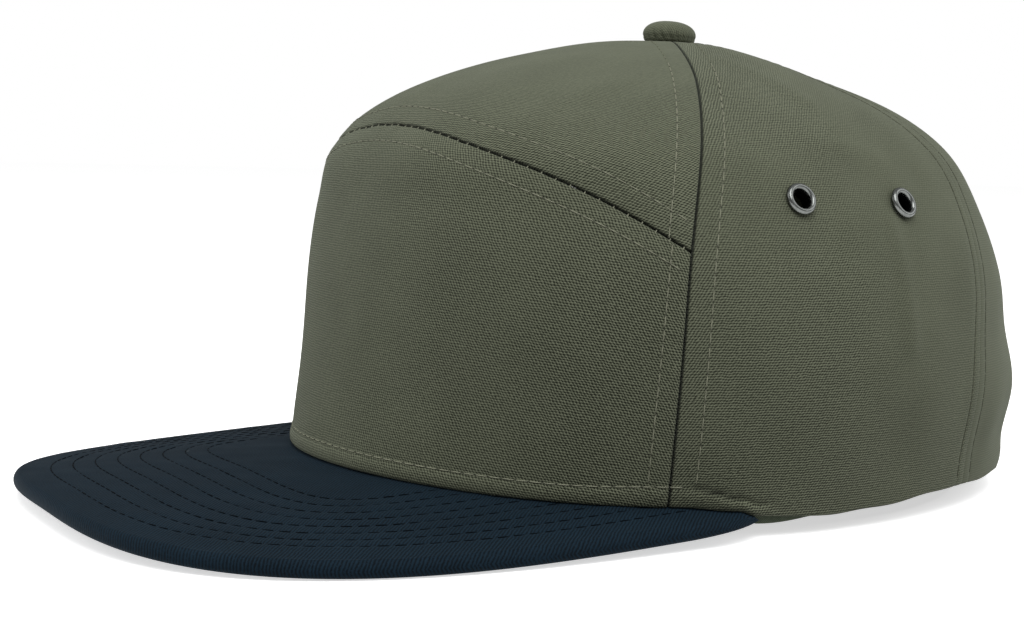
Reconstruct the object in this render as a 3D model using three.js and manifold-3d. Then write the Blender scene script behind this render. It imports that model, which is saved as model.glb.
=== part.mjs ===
// Flat bill cap: a structured crown of six cloth panels, a stiff flat bill, four eyelets and a top button.
// Millimetres and degrees, +Z up. The front faces -Y and the wearer's left is +X.
// The cap rests as it would by itself: the bill's side edges and the back of the rim touch z = 0.
// Azimuth is measured round the crown from the front, positive towards the wearer's left.
import * as THREE from "three";
import { mergeVertices } from "three/addons/utils/BufferGeometryUtils.js";
import Module from "manifold-3d";

// Cloth and clearances
const WALL = 1.6;
const GAP = 0.3;

// Crown: level sections from the table top upwards, reaches measured from the section's own centre
const CROWN_HEIGHT = 119;
const APEX_SETBACK = 8.8;
const CROWN_SECTIONS = [
  { height: 0.0, halfWidth: 85.5, front: 97.0, back: 104.0, frontSquare: 1.9, backSquare: 2.15 },
  { height: 32.0, halfWidth: 88.0, front: 93.0, back: 106.5, frontSquare: 2.1, backSquare: 2.15 },
  { height: 55.0, halfWidth: 85.5, front: 91.0, back: 101.0, frontSquare: 2.35, backSquare: 2.15 },
  { height: 74.5, halfWidth: 79.0, front: 89.0, back: 92.5, frontSquare: 2.6, backSquare: 2.15 },
  { height: 90.0, halfWidth: 69.5, front: 85.5, back: 82.0, frontSquare: 2.85, backSquare: 2.15 },
  { height: 102.5, halfWidth: 55.0, front: 73.0, back: 64.0, frontSquare: 2.65, backSquare: 2.1 },
  { height: 111.5, halfWidth: 38.5, front: 51.5, back: 45.5, frontSquare: 2.45, backSquare: 2.0 },
  { height: 117.0, halfWidth: 21.5, front: 29.0, back: 26.0, frontSquare: 2.25, backSquare: 1.9 },
];

// Dents and bulges of the soft rear panels, the same on both sides; a negative depth goes in
const CROWN_DENTS = [
  { azimuth: 145, spread: 28, height: 111, tall: 7, depth: -5.2 },
  { azimuth: 145, spread: 28, height: 95, tall: 9, depth: 0.8 },
  { azimuth: 145, spread: 22, height: 44, tall: 9, depth: -1.3 },
  { azimuth: 145, spread: 22, height: 27, tall: 8, depth: 0.9 },
  { azimuth: 145, spread: 25, height: 8, tall: 5, depth: 1.3 },
];

// Seams between the panels: azimuth at the rim, and how far the seam drifts back towards the top
const SIDE_SEAM = { azimuth: 61.3, drift: 2.4, from: 0.25, to: 0.7 };
const REAR_SEAM = { azimuth: 121.8, drift: 7.5, from: 0.05, to: 0.5 };
const BACK_SEAM = 180;
const ARCH_SEAM = { height: 94.7, fall: 26.0, droop: 0.7, azimuth: 60 };
const APEX_RING = 0.99;

// Height of the rim behind the bill
const RIM_ROWS = [
  { azimuth: 76.6, height: 3.7 },
  { azimuth: 90, height: 4.7 },
  { azimuth: 120, height: 6.2 },
  { azimuth: 150, height: 4.5 },
  { azimuth: 180, height: 0.0 },
];

// Bill: a stiff board in cloth, arched across and nearly level along
const BILL_THICKNESS = 4.0;
const BILL_HALF_WIDTH = 88.0;
const BILL_REACH = 163.0;
const BILL_SHOULDER_Y = -35.8;
const BILL_SIDE_SQUARE = 2.9;
const BILL_FRONT_SQUARE = 3.05;
const BILL_HEIGHT = 10.9;
const BILL_HEIGHT_Y = -90;
const BILL_RISE = 0.046;
const BILL_ARCH = 7.22;
const BILL_ARCH_X = 90;
const BILL_EDGE_RADIUS = 1.5;
const BILL_TUCK = 5.0;
const BILL_TAIL_AZIMUTH = 74.6;
const BILL_TAIL_STAND = 1.0;
const BILL_TAIL_SHARE = 0.14;

// Top button with its shank and back plate
const BUTTON_RADIUS = 6.8;
const BUTTON_HEIGHT = 5.6;
const SHANK_RADIUS = 1.8;
const BUTTON_PLATE_RADIUS = 5.0;
const BUTTON_PLATE_THICKNESS = 0.8;

// Eyelets: two rolled metal rings on each side panel
const EYELET_ROWS = [
  { name: "front", azimuth: 81.2, height: 78.6 },
  { name: "rear", azimuth: 105.7, height: 77.8 },
];
const EYELET_HOLE_RADIUS = 2.4;
const EYELET_BARREL_RADIUS = 2.8;
const EYELET_OUTER_RADIUS = 4.1;
const EYELET_PROUD = 1.3;
const EYELET_SEAT = 0.35;
const EYELET_BACK_RADIUS = 3.9;
const EYELET_BACK_THICKNESS = 0.5;

// Sweatband: a slim cloth band inside the rim; its lower edge shows a little behind the bill
const BAND_HEIGHT = 30;
const BAND_THICKNESS = 1.2;
const BAND_CLEARANCE = 0.6;
const BAND_PEEK = { azimuth: 86, spread: 12, drop: 1.1 };
const BAND_TUCK_UP = 0.6;

// The origin lies under the middle of the cap's length
const CENTRE_Y = 27.06;

const DEGREES = Math.PI / 180;
const CLOSING = 0.8;

function smoothstep(value, low, high) {
  return THREE.MathUtils.smoothstep(value, low, high);
}

// A smooth curve through the rows of a table, with each slope taken from the neighbours
function curveThrough(keys, values) {
  const last = keys.length - 1;
  const slopes = keys.map((key, i) => {
    const before = Math.max(i - 1, 0);
    const after = Math.min(i + 1, last);
    return (values[after] - values[before]) / (keys[after] - keys[before]);
  });
  return (x) => {
    let i = 0;
    while (i < last - 1 && x >= keys[i + 1]) i += 1;
    const width = keys[i + 1] - keys[i];
    const u = (x - keys[i]) / width;
    const start = values[i] * (1 + 2 * u) * (1 - u) ** 2 + slopes[i] * width * u * (1 - u) ** 2;
    return start + values[i + 1] * u * u * (3 - 2 * u) + slopes[i + 1] * width * u * u * (u - 1);
  };
}

// The crown's level runs from 0 at the table top to 1 at the apex
function heightAt(level) {
  return CROWN_HEIGHT * Math.sin((level * Math.PI) / 2) ** CLOSING;
}

function levelAt(height) {
  const share = THREE.MathUtils.clamp(height / CROWN_HEIGHT, 0, 1);
  return (Math.asin(share ** (1 / CLOSING)) * 2) / Math.PI;
}

function closingAt(level) {
  return Math.cos((level * Math.PI) / 2) ** CLOSING;
}

// Each column of the section table as a smooth curve over the level; sizes are freed of the closing
function sectionCurve(column, isSize) {
  const levels = CROWN_SECTIONS.map((row) => levelAt(row.height));
  const values = CROWN_SECTIONS.map((row, i) => row[column] / (isSize ? closingAt(levels[i]) : 1));
  levels.push(1);
  values.push(values[values.length - 1]);
  return curveThrough(levels, values);
}

const sideFullness = sectionCurve("halfWidth", true);
const frontFullness = sectionCurve("front", true);
const backFullness = sectionCurve("back", true);
const frontSquareness = sectionCurve("frontSquare", false);
const backSquareness = sectionCurve("backSquare", false);

function crownPoint(azimuth, level) {
  const sine = Math.sin(azimuth * DEGREES);
  const cosine = Math.cos(azimuth * DEGREES);
  const isFront = cosine > 0;
  const closing = closingAt(level);
  const side = sideFullness(level) * closing;
  const reach = (isFront ? frontFullness(level) : backFullness(level)) * closing;
  const square = isFront ? frontSquareness(level) : backSquareness(level);
  const height = heightAt(level);
  const across = Math.abs(sine / side) ** square;
  let radius = (across + Math.abs(cosine / reach) ** square) ** (-1 / square);
  for (const dent of CROWN_DENTS) {
    const round = (Math.abs(azimuth) - dent.azimuth) / dent.spread;
    const up = (height - dent.height) / dent.tall;
    radius += dent.depth * Math.exp(-round * round - up * up) * smoothstep(closing, 0, 0.25);
  }
  const y = -radius * cosine + (APEX_SETBACK * height) / CROWN_HEIGHT;
  return new THREE.Vector3(radius * sine, y, height);
}

function crownNormal(azimuth, level) {
  const step = 0.004;
  const low = Math.max(level - step, 0.002);
  const high = Math.min(level + step, 0.996);
  const along = crownPoint(azimuth + 1, level).sub(crownPoint(azimuth - 1, level));
  const up = crownPoint(azimuth, high).sub(crownPoint(azimuth, low));
  return along.cross(up).normalize();
}

function wallPoint(azimuth, level, depth) {
  return crownPoint(azimuth, level).addScaledVector(crownNormal(azimuth, level), -depth);
}

function billTop(x, y) {
  return BILL_HEIGHT + BILL_RISE * (y - BILL_HEIGHT_Y) - BILL_ARCH * (x / BILL_ARCH_X) ** 2;
}

const rimBehindBill = curveThrough(
  [...RIM_ROWS.map((row) => row.azimuth), 210],
  [...RIM_ROWS.map((row) => row.height), RIM_ROWS[3].height],
);

// Level of the crown's lower edge: it stands on the bill at the front and drops behind the bill's tail
function rimLevel(azimuth, depth = WALL, thickness = WALL) {
  const round = Math.abs(azimuth);
  const start = BILL_TAIL_AZIMUTH + 0.6;
  const behind = levelAt(rimBehindBill(Math.max(round, RIM_ROWS[0].azimuth)));
  if (round >= RIM_ROWS[0].azimuth) return behind;
  let level = 0.05;
  for (let i = 0; i < 4; i += 1) {
    const faces = [wallPoint(azimuth, level, depth), wallPoint(azimuth, level, depth - thickness)];
    const lift = Math.max(...faces.map((face) => billTop(face.x, face.y) - face.z)) + GAP;
    level = levelAt(heightAt(level) + lift);
  }
  return THREE.MathUtils.lerp(level, behind, smoothstep(round, start, RIM_ROWS[0].azimuth));
}

function seamAzimuth(seam, level) {
  return seam.azimuth + seam.drift * smoothstep(level, seam.from, seam.to);
}

function archLevel(azimuth) {
  const share = azimuth / ARCH_SEAM.azimuth;
  return levelAt(ARCH_SEAM.height - ARCH_SEAM.fall * share ** 2 - ARCH_SEAM.droop * share ** 4);
}

// Half a seam's gap, as a change of level and as a change of azimuth
function gapInLevel(azimuth, level) {
  const step = 0.002;
  const length = crownPoint(azimuth, level + step).distanceTo(crownPoint(azimuth, level - step));
  return (GAP / 2) * ((2 * step) / length);
}

function gapInAzimuth(azimuth, level) {
  const length = crownPoint(azimuth + 0.5, level).distanceTo(crownPoint(azimuth - 0.5, level));
  return GAP / 2 / length;
}

// A closed solid between two grids of points, indexed by column and row
function shellBetween(outer, inner, isRing = false) {
  const columns = outer.length;
  const rows = outer[0].length;
  const positions = [];
  for (const grid of [outer, inner]) {
    for (const column of grid) {
      for (const point of column) positions.push(point.x, point.y, point.z);
    }
  }
  const index = [];
  const at = (side, column, row) => side * columns * rows + (column % columns) * rows + row;
  const quad = (a, b, c, d) => index.push(a, b, c, a, c, d);
  const spans = isRing ? columns : columns - 1;
  for (let c = 0; c < spans; c += 1) {
    for (let r = 0; r < rows - 1; r += 1) {
      quad(at(0, c, r), at(0, c + 1, r), at(0, c + 1, r + 1), at(0, c, r + 1));
      quad(at(1, c, r), at(1, c, r + 1), at(1, c + 1, r + 1), at(1, c + 1, r));
    }
    quad(at(0, c, 0), at(1, c, 0), at(1, c + 1, 0), at(0, c + 1, 0));
    quad(at(0, c, rows - 1), at(0, c + 1, rows - 1), at(1, c + 1, rows - 1), at(1, c, rows - 1));
  }
  if (!isRing) {
    const end = columns - 1;
    for (let r = 0; r < rows - 1; r += 1) {
      quad(at(0, 0, r), at(0, 0, r + 1), at(1, 0, r + 1), at(1, 0, r));
      quad(at(0, end, r), at(1, end, r), at(1, end, r + 1), at(0, end, r + 1));
    }
  }
  const geometry = new THREE.BufferGeometry();
  geometry.setAttribute("position", new THREE.Float32BufferAttribute(positions, 3));
  geometry.setIndex(index);
  return geometry;
}

function evenSteps(count) {
  return Array.from({ length: count + 1 }, (_, i) => i / count);
}

// Rows lie closer together near the rim, where the cloth bends most
function rimSteps(count) {
  return evenSteps(count).map((step) => 0.7 * step + 0.3 * step * step);
}

// A crown panel: its edges are azimuths at a level, its ends are levels at an azimuth
function panelShell({ start, end, bottom, top, columns, rows }) {
  const grids = [[], []];
  for (const across of columns) {
    const outer = [];
    const inner = [];
    for (const up of rows) {
      let level = 0.3;
      let azimuth = 0;
      for (let i = 0; i < 6; i += 1) {
        const margin = gapInAzimuth(azimuth, level);
        azimuth = THREE.MathUtils.lerp(start(level) + margin, end(level) - margin, across);
        level = THREE.MathUtils.lerp(bottom(azimuth), top(azimuth), up);
      }
      outer.push(crownPoint(azimuth, level));
      inner.push(wallPoint(azimuth, level, WALL));
    }
    grids[0].push(outer);
    grids[1].push(inner);
  }
  return shellBetween(grids[0], grids[1]);
}

const archBelow = (azimuth) => archLevel(azimuth) - gapInLevel(azimuth, archLevel(azimuth));
const archAbove = (azimuth) => archLevel(azimuth) + gapInLevel(azimuth, archLevel(azimuth));
const sideSeam = (level) => seamAzimuth(SIDE_SEAM, level);
const rearSeam = (level) => seamAzimuth(REAR_SEAM, level);

function frontPanelShell() {
  const start = (level) => -sideSeam(level);
  const columns = evenSteps(20);
  return panelShell({ start, end: sideSeam, bottom: rimLevel, top: archBelow, columns, rows: evenSteps(10) });
}

function upperFrontPanelShell() {
  const start = (level) => -sideSeam(level);
  const top = () => APEX_RING;
  const columns = evenSteps(20);
  return panelShell({ start, end: sideSeam, bottom: archAbove, top, columns, rows: evenSteps(11) });
}

// The side panel has a column at each end of the step behind the bill's tail
function sidePanelShell(side) {
  const width = REAR_SEAM.azimuth - SIDE_SEAM.azimuth;
  const tail = (BILL_TAIL_AZIMUTH + 0.6 - SIDE_SEAM.azimuth) / width;
  const step = (RIM_ROWS[0].azimuth - SIDE_SEAM.azimuth) / width;
  const ahead = evenSteps(2).map((share) => share * tail);
  const behind = evenSteps(10).map((share) => THREE.MathUtils.lerp(step, 1, share));
  let columns = [...ahead, ...behind];
  if (side < 0) columns = columns.map((share) => 1 - share).reverse();
  return panelShell({
    start: side > 0 ? sideSeam : (level) => -rearSeam(level),
    end: side > 0 ? rearSeam : (level) => -sideSeam(level),
    bottom: rimLevel,
    top: () => APEX_RING,
    columns,
    rows: rimSteps(17),
  });
}

function backPanelShell(side) {
  return panelShell({
    start: side > 0 ? rearSeam : () => -BACK_SEAM,
    end: side > 0 ? () => BACK_SEAM : (level) => -rearSeam(level),
    bottom: rimLevel,
    top: () => APEX_RING,
    columns: evenSteps(12),
    rows: rimSteps(17),
  });
}

// The bill's outline, from -1 at the right tail to 1 at the left tail
function billOutline(share) {
  const side = Math.sign(share);
  const round = Math.abs(share) / (1 - BILL_TAIL_SHARE);
  if (round <= 1) {
    const angle = (round * Math.PI) / 2;
    const x = side * BILL_HALF_WIDTH * Math.sin(angle) ** (2 / BILL_SIDE_SQUARE);
    const length = BILL_REACH + BILL_SHOULDER_Y;
    return new THREE.Vector2(x, BILL_SHOULDER_Y - length * Math.cos(angle) ** (2 / BILL_FRONT_SQUARE));
  }
  const wall = wallPoint(BILL_TAIL_AZIMUTH, rimLevel(BILL_TAIL_AZIMUTH), -BILL_TAIL_STAND);
  const bend = new THREE.Vector2(BILL_HALF_WIDTH, THREE.MathUtils.lerp(BILL_SHOULDER_Y, wall.y, 0.55));
  const shoulder = new THREE.Vector2(BILL_HALF_WIDTH, BILL_SHOULDER_Y);
  const tail = new THREE.QuadraticBezierCurve(shoulder, bend, new THREE.Vector2(wall.x, wall.y));
  const point = tail.getPoint((Math.abs(share) - (1 - BILL_TAIL_SHARE)) / BILL_TAIL_SHARE);
  return new THREE.Vector2(side * point.x, point.y);
}

function billShell() {
  const edge = BILL_EDGE_RADIUS;
  const insets = [
    { inset: 0.3 * edge, drop: 0.3 * edge },
    { inset: 0, drop: BILL_THICKNESS / 2 - 0.1 },
  ];
  const tops = [];
  const bottoms = [];
  const tail = evenSteps(4).map((step) => 1 - BILL_TAIL_SHARE * step);
  const bow = evenSteps(32).map((step) => (1 - BILL_TAIL_SHARE) * (1 - 2 * step));
  const shares = [...tail, ...bow.slice(1), ...tail.map((share) => -share).reverse().slice(1)].reverse();
  for (const share of shares) {
    const azimuth = BILL_TAIL_AZIMUTH * share;
    const wall = wallPoint(azimuth, rimLevel(azimuth), BILL_TUCK);
    const root = new THREE.Vector2(wall.x, wall.y);
    const rim = billOutline(share);
    const inwards = root.clone().sub(rim).normalize();
    const fold = rim.clone().addScaledVector(inwards, edge);
    const top = [];
    const bottom = [];
    for (const step of [0, 0.25, 0.5, 0.75, 1]) {
      const point = root.clone().lerp(fold, step);
      const z = billTop(point.x, point.y);
      top.push(new THREE.Vector3(point.x, point.y, z));
      bottom.push(new THREE.Vector3(point.x, point.y, z - BILL_THICKNESS));
    }
    for (const { inset, drop } of insets) {
      const point = rim.clone().addScaledVector(inwards, inset);
      const z = billTop(point.x, point.y);
      top.push(new THREE.Vector3(point.x, point.y, z - drop));
      bottom.push(new THREE.Vector3(point.x, point.y, z - BILL_THICKNESS + drop));
    }
    tops.push(top);
    bottoms.push(bottom);
  }
  return shellBetween(bottoms, tops);
}

// The band's lower edge follows the rim, shows just behind the bill's tail and hides at the back
function bandShell() {
  const depth = WALL + BAND_CLEARANCE;
  const outer = [];
  const inner = [];
  const stepEnds = [BILL_TAIL_AZIMUTH + 0.6, RIM_ROWS[0].azimuth];
  const even = evenSteps(64).slice(1).map((step) => 360 * step - 180);
  const azimuths = [...even, ...stepEnds, ...stepEnds.map((end) => -end)].sort((a, b) => a - b);
  for (const azimuth of azimuths) {
    const nearTail = (Math.abs(azimuth) - BAND_PEEK.azimuth) / BAND_PEEK.spread;
    const peek = (BAND_PEEK.drop + BAND_TUCK_UP) * Math.exp(-nearTail * nearTail);
    const rim = heightAt(rimLevel(azimuth, depth + BAND_THICKNESS, BAND_THICKNESS));
    const onBill = Math.abs(azimuth) < RIM_ROWS[0].azimuth;
    const low = rim + (onBill ? 0 : BAND_TUCK_UP - peek);
    const outside = [];
    const inside = [];
    for (const step of evenSteps(4)) {
      const level = levelAt(low + BAND_HEIGHT * step);
      outside.push(wallPoint(azimuth, level, depth));
      inside.push(wallPoint(azimuth, level, depth + BAND_THICKNESS));
    }
    outer.push(outside);
    inner.push(inside);
  }
  return shellBetween(outer, inner, true);
}

// A turned solid whose profile is in radius and height, with its axis along +Z
function turned(profile, segments) {
  const points = profile.map(([radius, height]) => new THREE.Vector2(radius, height));
  return new THREE.LatheGeometry(points, segments).rotateX(Math.PI / 2);
}

// The button's dome, its waist, its shank through the crown and the plate that holds it inside
function buttonShape() {
  const plateTop = -WALL - GAP;
  const plateBottom = plateTop - BUTTON_PLATE_THICKNESS;
  const dome = evenSteps(6).map((step) => {
    const angle = (step * Math.PI) / 2;
    const height = 0.42 + 0.58 * Math.cos(angle) ** 0.9;
    return [BUTTON_RADIUS * Math.sin(angle) ** 0.8, BUTTON_HEIGHT * height];
  });
  const under = [
    [BUTTON_RADIUS * 0.97, BUTTON_HEIGHT * 0.24],
    [BUTTON_RADIUS * 0.84, GAP + 0.15],
    [SHANK_RADIUS, GAP + 0.15],
    [SHANK_RADIUS, plateTop],
    [BUTTON_PLATE_RADIUS, plateTop],
    [BUTTON_PLATE_RADIUS, plateBottom],
    [0, plateBottom],
  ];
  return turned([...dome, ...under], 20);
}

// A rolled ring outside, a barrel through the cloth and a flat washer inside
function eyeletShape() {
  const rollMiddle = (EYELET_HOLE_RADIUS + EYELET_OUTER_RADIUS) / 2;
  const rollHalf = (EYELET_OUTER_RADIUS - EYELET_HOLE_RADIUS) / 2;
  const roll = evenSteps(5).map((step) => {
    const angle = Math.PI * step;
    const height = EYELET_SEAT + 0.25 + (EYELET_PROUD - 0.25) * Math.sin(angle);
    return [rollMiddle - rollHalf * Math.cos(angle), height];
  });
  const backTop = -WALL - EYELET_SEAT;
  const backBottom = backTop - EYELET_BACK_THICKNESS;
  return turned([
    ...roll,
    [EYELET_OUTER_RADIUS - 0.2, EYELET_SEAT],
    [EYELET_BARREL_RADIUS, EYELET_SEAT],
    [EYELET_BARREL_RADIUS, backTop],
    [EYELET_BACK_RADIUS, backTop],
    [EYELET_BACK_RADIUS, backBottom],
    [EYELET_HOLE_RADIUS, backBottom],
    [EYELET_HOLE_RADIUS, EYELET_SEAT + 0.25],
  ], 16);
}

// Shared vertices merged and the faces turned outwards
function closedGeometry(source) {
  const geometry = source.clone();
  geometry.deleteAttribute("normal");
  geometry.deleteAttribute("uv");
  const merged = mergeVertices(geometry, 1e-4);
  const position = merged.getAttribute("position");
  const index = merged.index.array;
  const kept = [];
  const corners = [0, 1, 2].map(() => new THREE.Vector3());
  let volume = 0;
  for (let i = 0; i < index.length; i += 3) {
    const [a, b, c] = [index[i], index[i + 1], index[i + 2]];
    if (a === b || b === c || c === a) continue;
    [a, b, c].forEach((vertex, corner) => corners[corner].fromBufferAttribute(position, vertex));
    volume += corners[0].dot(corners[1].clone().cross(corners[2]));
    kept.push(a, b, c);
  }
  if (volume < 0) kept.reverse();
  merged.setIndex(kept);
  merged.computeVertexNormals();
  return merged;
}

const wasm = await Module();
wasm.setup();

function toManifold(geometry) {
  const merged = closedGeometry(geometry);
  return new wasm.Manifold(
    new wasm.Mesh({
      numProp: 3,
      vertProperties: new Float32Array(merged.getAttribute("position").array),
      triVerts: new Uint32Array(merged.index.array),
    }),
  );
}

function fromManifold(solid) {
  const mesh = solid.getMesh();
  const geometry = new THREE.BufferGeometry();
  geometry.setAttribute("position", new THREE.BufferAttribute(mesh.vertProperties, 3));
  geometry.setIndex(new THREE.BufferAttribute(mesh.triVerts, 1));
  geometry.computeVertexNormals();
  return geometry;
}

function eyeletPlace(row, side) {
  const level = levelAt(row.height);
  const position = crownPoint(side * row.azimuth, level);
  const normal = crownNormal(side * row.azimuth, level);
  const turn = new THREE.Quaternion().setFromUnitVectors(new THREE.Vector3(0, 0, 1), normal);
  return { position, turn };
}

// A side panel with its two eyelet holes cut through
function piercedSidePanel(side) {
  let panel = toManifold(sidePanelShell(side));
  for (const row of EYELET_ROWS) {
    const { position, turn } = eyeletPlace(row, side);
    const radius = EYELET_BARREL_RADIUS + GAP;
    const drill = new THREE.CylinderGeometry(radius, radius, 8 * WALL, 16).rotateX(Math.PI / 2);
    drill.applyQuaternion(turn).translate(position.x, position.y, position.z);
    panel = panel.subtract(toManifold(drill));
  }
  return fromManifold(panel);
}

// Finishes
const oliveTwill = { color: 0x565a49, roughness: 0.9, metalness: 0 };
const navyTwill = { color: 0x1b262c, roughness: 0.85, metalness: 0 };
const oliveTape = { color: 0x3a3e31, roughness: 0.9, metalness: 0 };
const nickel = { color: 0xb9bab6, roughness: 0.28, metalness: 1 };

const cap = new THREE.Group();
cap.position.y = CENTRE_Y;

function addPiece(name, geometry, finish) {
  const mesh = new THREE.Mesh(geometry, new THREE.MeshStandardMaterial(finish));
  mesh.name = name;
  cap.add(mesh);
  return mesh;
}

addPiece("front_panel", closedGeometry(frontPanelShell()), oliveTwill);
addPiece("upper_front_panel", closedGeometry(upperFrontPanelShell()), oliveTwill);
for (const [sideName, side] of [["left", 1], ["right", -1]]) {
  addPiece(`side_panel_${sideName}`, piercedSidePanel(side), oliveTwill);
  addPiece(`back_panel_${sideName}`, closedGeometry(backPanelShell(side)), oliveTwill);
  for (const row of EYELET_ROWS) {
    const { position, turn } = eyeletPlace(row, side);
    const eyelet = addPiece(`eyelet_${row.name}_${sideName}`, closedGeometry(eyeletShape()), nickel);
    eyelet.position.copy(position);
    eyelet.quaternion.copy(turn);
  }
}
addPiece("bill", closedGeometry(billShell()), navyTwill);
addPiece("sweatband", closedGeometry(bandShell()), oliveTape);
const button = addPiece("top_button", closedGeometry(buttonShape()), oliveTwill);
button.position.set(0, APEX_SETBACK, CROWN_HEIGHT);

export default cap;
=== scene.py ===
import bmesh
import bpy
import numpy as np
from mathutils import Matrix, Vector
from mathutils.kdtree import KDTree


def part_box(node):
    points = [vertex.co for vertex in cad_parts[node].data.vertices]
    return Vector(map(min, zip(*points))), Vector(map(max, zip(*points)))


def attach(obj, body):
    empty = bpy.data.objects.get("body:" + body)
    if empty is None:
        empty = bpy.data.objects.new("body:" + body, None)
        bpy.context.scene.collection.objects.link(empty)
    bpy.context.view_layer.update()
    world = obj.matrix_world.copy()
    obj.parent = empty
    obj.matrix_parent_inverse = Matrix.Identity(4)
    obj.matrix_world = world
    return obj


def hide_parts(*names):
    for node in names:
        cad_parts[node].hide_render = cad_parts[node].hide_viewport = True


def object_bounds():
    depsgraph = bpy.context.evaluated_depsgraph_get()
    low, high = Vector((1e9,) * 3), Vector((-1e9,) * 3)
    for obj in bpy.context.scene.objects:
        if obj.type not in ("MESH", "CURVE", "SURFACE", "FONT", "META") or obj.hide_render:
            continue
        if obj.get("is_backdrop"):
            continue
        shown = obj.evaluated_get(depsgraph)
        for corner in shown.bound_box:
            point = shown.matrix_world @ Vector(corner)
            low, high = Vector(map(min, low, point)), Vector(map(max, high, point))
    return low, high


MM = 0.001

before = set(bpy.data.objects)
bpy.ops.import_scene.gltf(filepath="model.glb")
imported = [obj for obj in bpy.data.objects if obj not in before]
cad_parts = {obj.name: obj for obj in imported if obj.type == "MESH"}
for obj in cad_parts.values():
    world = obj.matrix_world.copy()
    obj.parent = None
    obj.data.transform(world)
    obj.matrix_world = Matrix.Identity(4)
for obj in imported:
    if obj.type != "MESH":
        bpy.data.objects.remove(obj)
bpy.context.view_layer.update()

# The studio: a white backdrop all round, four broad softboxes and the white table that the cap rests on.
# The camera looks at the wearer's left side from just above the table, a little turned on its axis.

VIEW_AZIMUTH = 57.8
VIEW_ELEVATION = 4.852
VIEW_ROLL = np.radians(1.43)
VIEW_DISTANCE = 476.3 * MM
VIEW_TARGET = Vector((0, 7.06 * MM, 50 * MM))
LENS = 62.01
SHIFT_X = -0.0604
SHIFT_Y = -0.01436


def towards(azimuth, elevation):
    """The direction of a place seen from the cap: azimuth runs from the front towards the wearer's left."""
    around, up = np.radians(azimuth), np.radians(elevation)
    return Vector((np.sin(around) * np.cos(up), -np.cos(around) * np.cos(up), np.sin(up)))


back = towards(VIEW_AZIMUTH, VIEW_ELEVATION)
level_side = towards(VIEW_AZIMUTH + 90, 0)
level_up = back.cross(level_side)
camera_side = level_side * np.cos(VIEW_ROLL) + level_up * np.sin(VIEW_ROLL)
camera_up = level_up * np.cos(VIEW_ROLL) - level_side * np.sin(VIEW_ROLL)

lens = bpy.data.cameras.new("photo_camera")
lens.lens = LENS
lens.sensor_width = 36
lens.shift_x = SHIFT_X
lens.shift_y = SHIFT_Y
lens.clip_start = 0.01
camera = bpy.data.objects.new("photo_camera", lens)
turn = Matrix((camera_side, camera_up, back)).transposed().to_4x4()
camera.matrix_world = Matrix.Translation(VIEW_TARGET + back * VIEW_DISTANCE) @ turn
bpy.context.scene.collection.objects.link(camera)
bpy.context.scene.camera = camera
bpy.context.scene.view_settings.view_transform = "Standard"

ROOM_LIGHT = 0.405
SOFTBOX_SIZE = 1.1
SOFTBOX_DISTANCE = 1.4
SOFTBOXES = [
    dict(name="left_front_softbox", azimuth=-30, elevation=25, power=5.2),
    dict(name="right_back_softbox", azimuth=150, elevation=32, power=4.6),
    dict(name="right_softbox", azimuth=95, elevation=45, power=1.3),
    dict(name="overhead_softbox", azimuth=66, elevation=60, power=12.7),
]
room = bpy.data.worlds.new("soft_room_light")
room.use_nodes = True
room.node_tree.nodes["Background"].inputs["Color"].default_value = (1, 1, 1, 1)
room.node_tree.nodes["Background"].inputs["Strength"].default_value = ROOM_LIGHT
bpy.context.scene.world = room
for box in SOFTBOXES:
    light = bpy.data.lights.new(box["name"], "AREA")
    light.shape = "DISK"
    light.size = SOFTBOX_SIZE
    light.energy = box["power"]
    lamp = bpy.data.objects.new(box["name"], light)
    out = towards(box["azimuth"], box["elevation"])
    lamp.location = VIEW_TARGET + out * SOFTBOX_DISTANCE
    lamp.rotation_euler = out.to_track_quat("Z", "Y").to_euler()
    bpy.context.scene.collection.objects.link(lamp)

TABLE_HALF = 6.0
BACKDROP_RADIUS = 5.0


def new_material(name):
    material = bpy.data.materials.new(name)
    material.use_nodes = True
    return material, material.node_tree, material.node_tree.nodes["Principled BSDF"]


def stage_piece(name, mesh, albedo, glow, unseen_by):
    """A matt studio surface; its glow keeps a white one white far from the lights."""
    material, _, shader = new_material(name)
    shader.inputs["Base Color"].default_value = (albedo, albedo, albedo, 1)
    shader.inputs["Roughness"].default_value = 0.9
    shader.inputs["Specular IOR Level"].default_value = 0.0
    shader.inputs["Emission Color"].default_value = (1, 1, 1, 1)
    shader.inputs["Emission Strength"].default_value = glow
    mesh.materials.append(material)
    piece = bpy.data.objects.new(name, mesh)
    for light_kind in unseen_by:
        setattr(piece, "visible_" + light_kind, False)
    bpy.context.scene.collection.objects.link(piece)
    piece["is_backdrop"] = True


table_mesh = bpy.data.meshes.new("white_table")
corners = [(x * TABLE_HALF, y * TABLE_HALF, 0) for x, y in [(-1, -1), (1, -1), (1, 1), (-1, 1)]]
table_mesh.from_pydata(corners, [], [(0, 1, 2, 3)])
stage_piece("white_table", table_mesh, albedo=0.95, glow=0.6, unseen_by=["diffuse"])
backdrop_mesh = bpy.data.meshes.new("white_backdrop")
dome = bmesh.new()
bmesh.ops.create_uvsphere(dome, u_segments=32, v_segments=16, radius=BACKDROP_RADIUS)
dome.to_mesh(backdrop_mesh)
dome.free()
all_but_camera = ["diffuse", "glossy", "transmission", "shadow"]
stage_piece("white_backdrop", backdrop_mesh, albedo=0.0, glow=1.0, unseen_by=all_but_camera)

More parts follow.
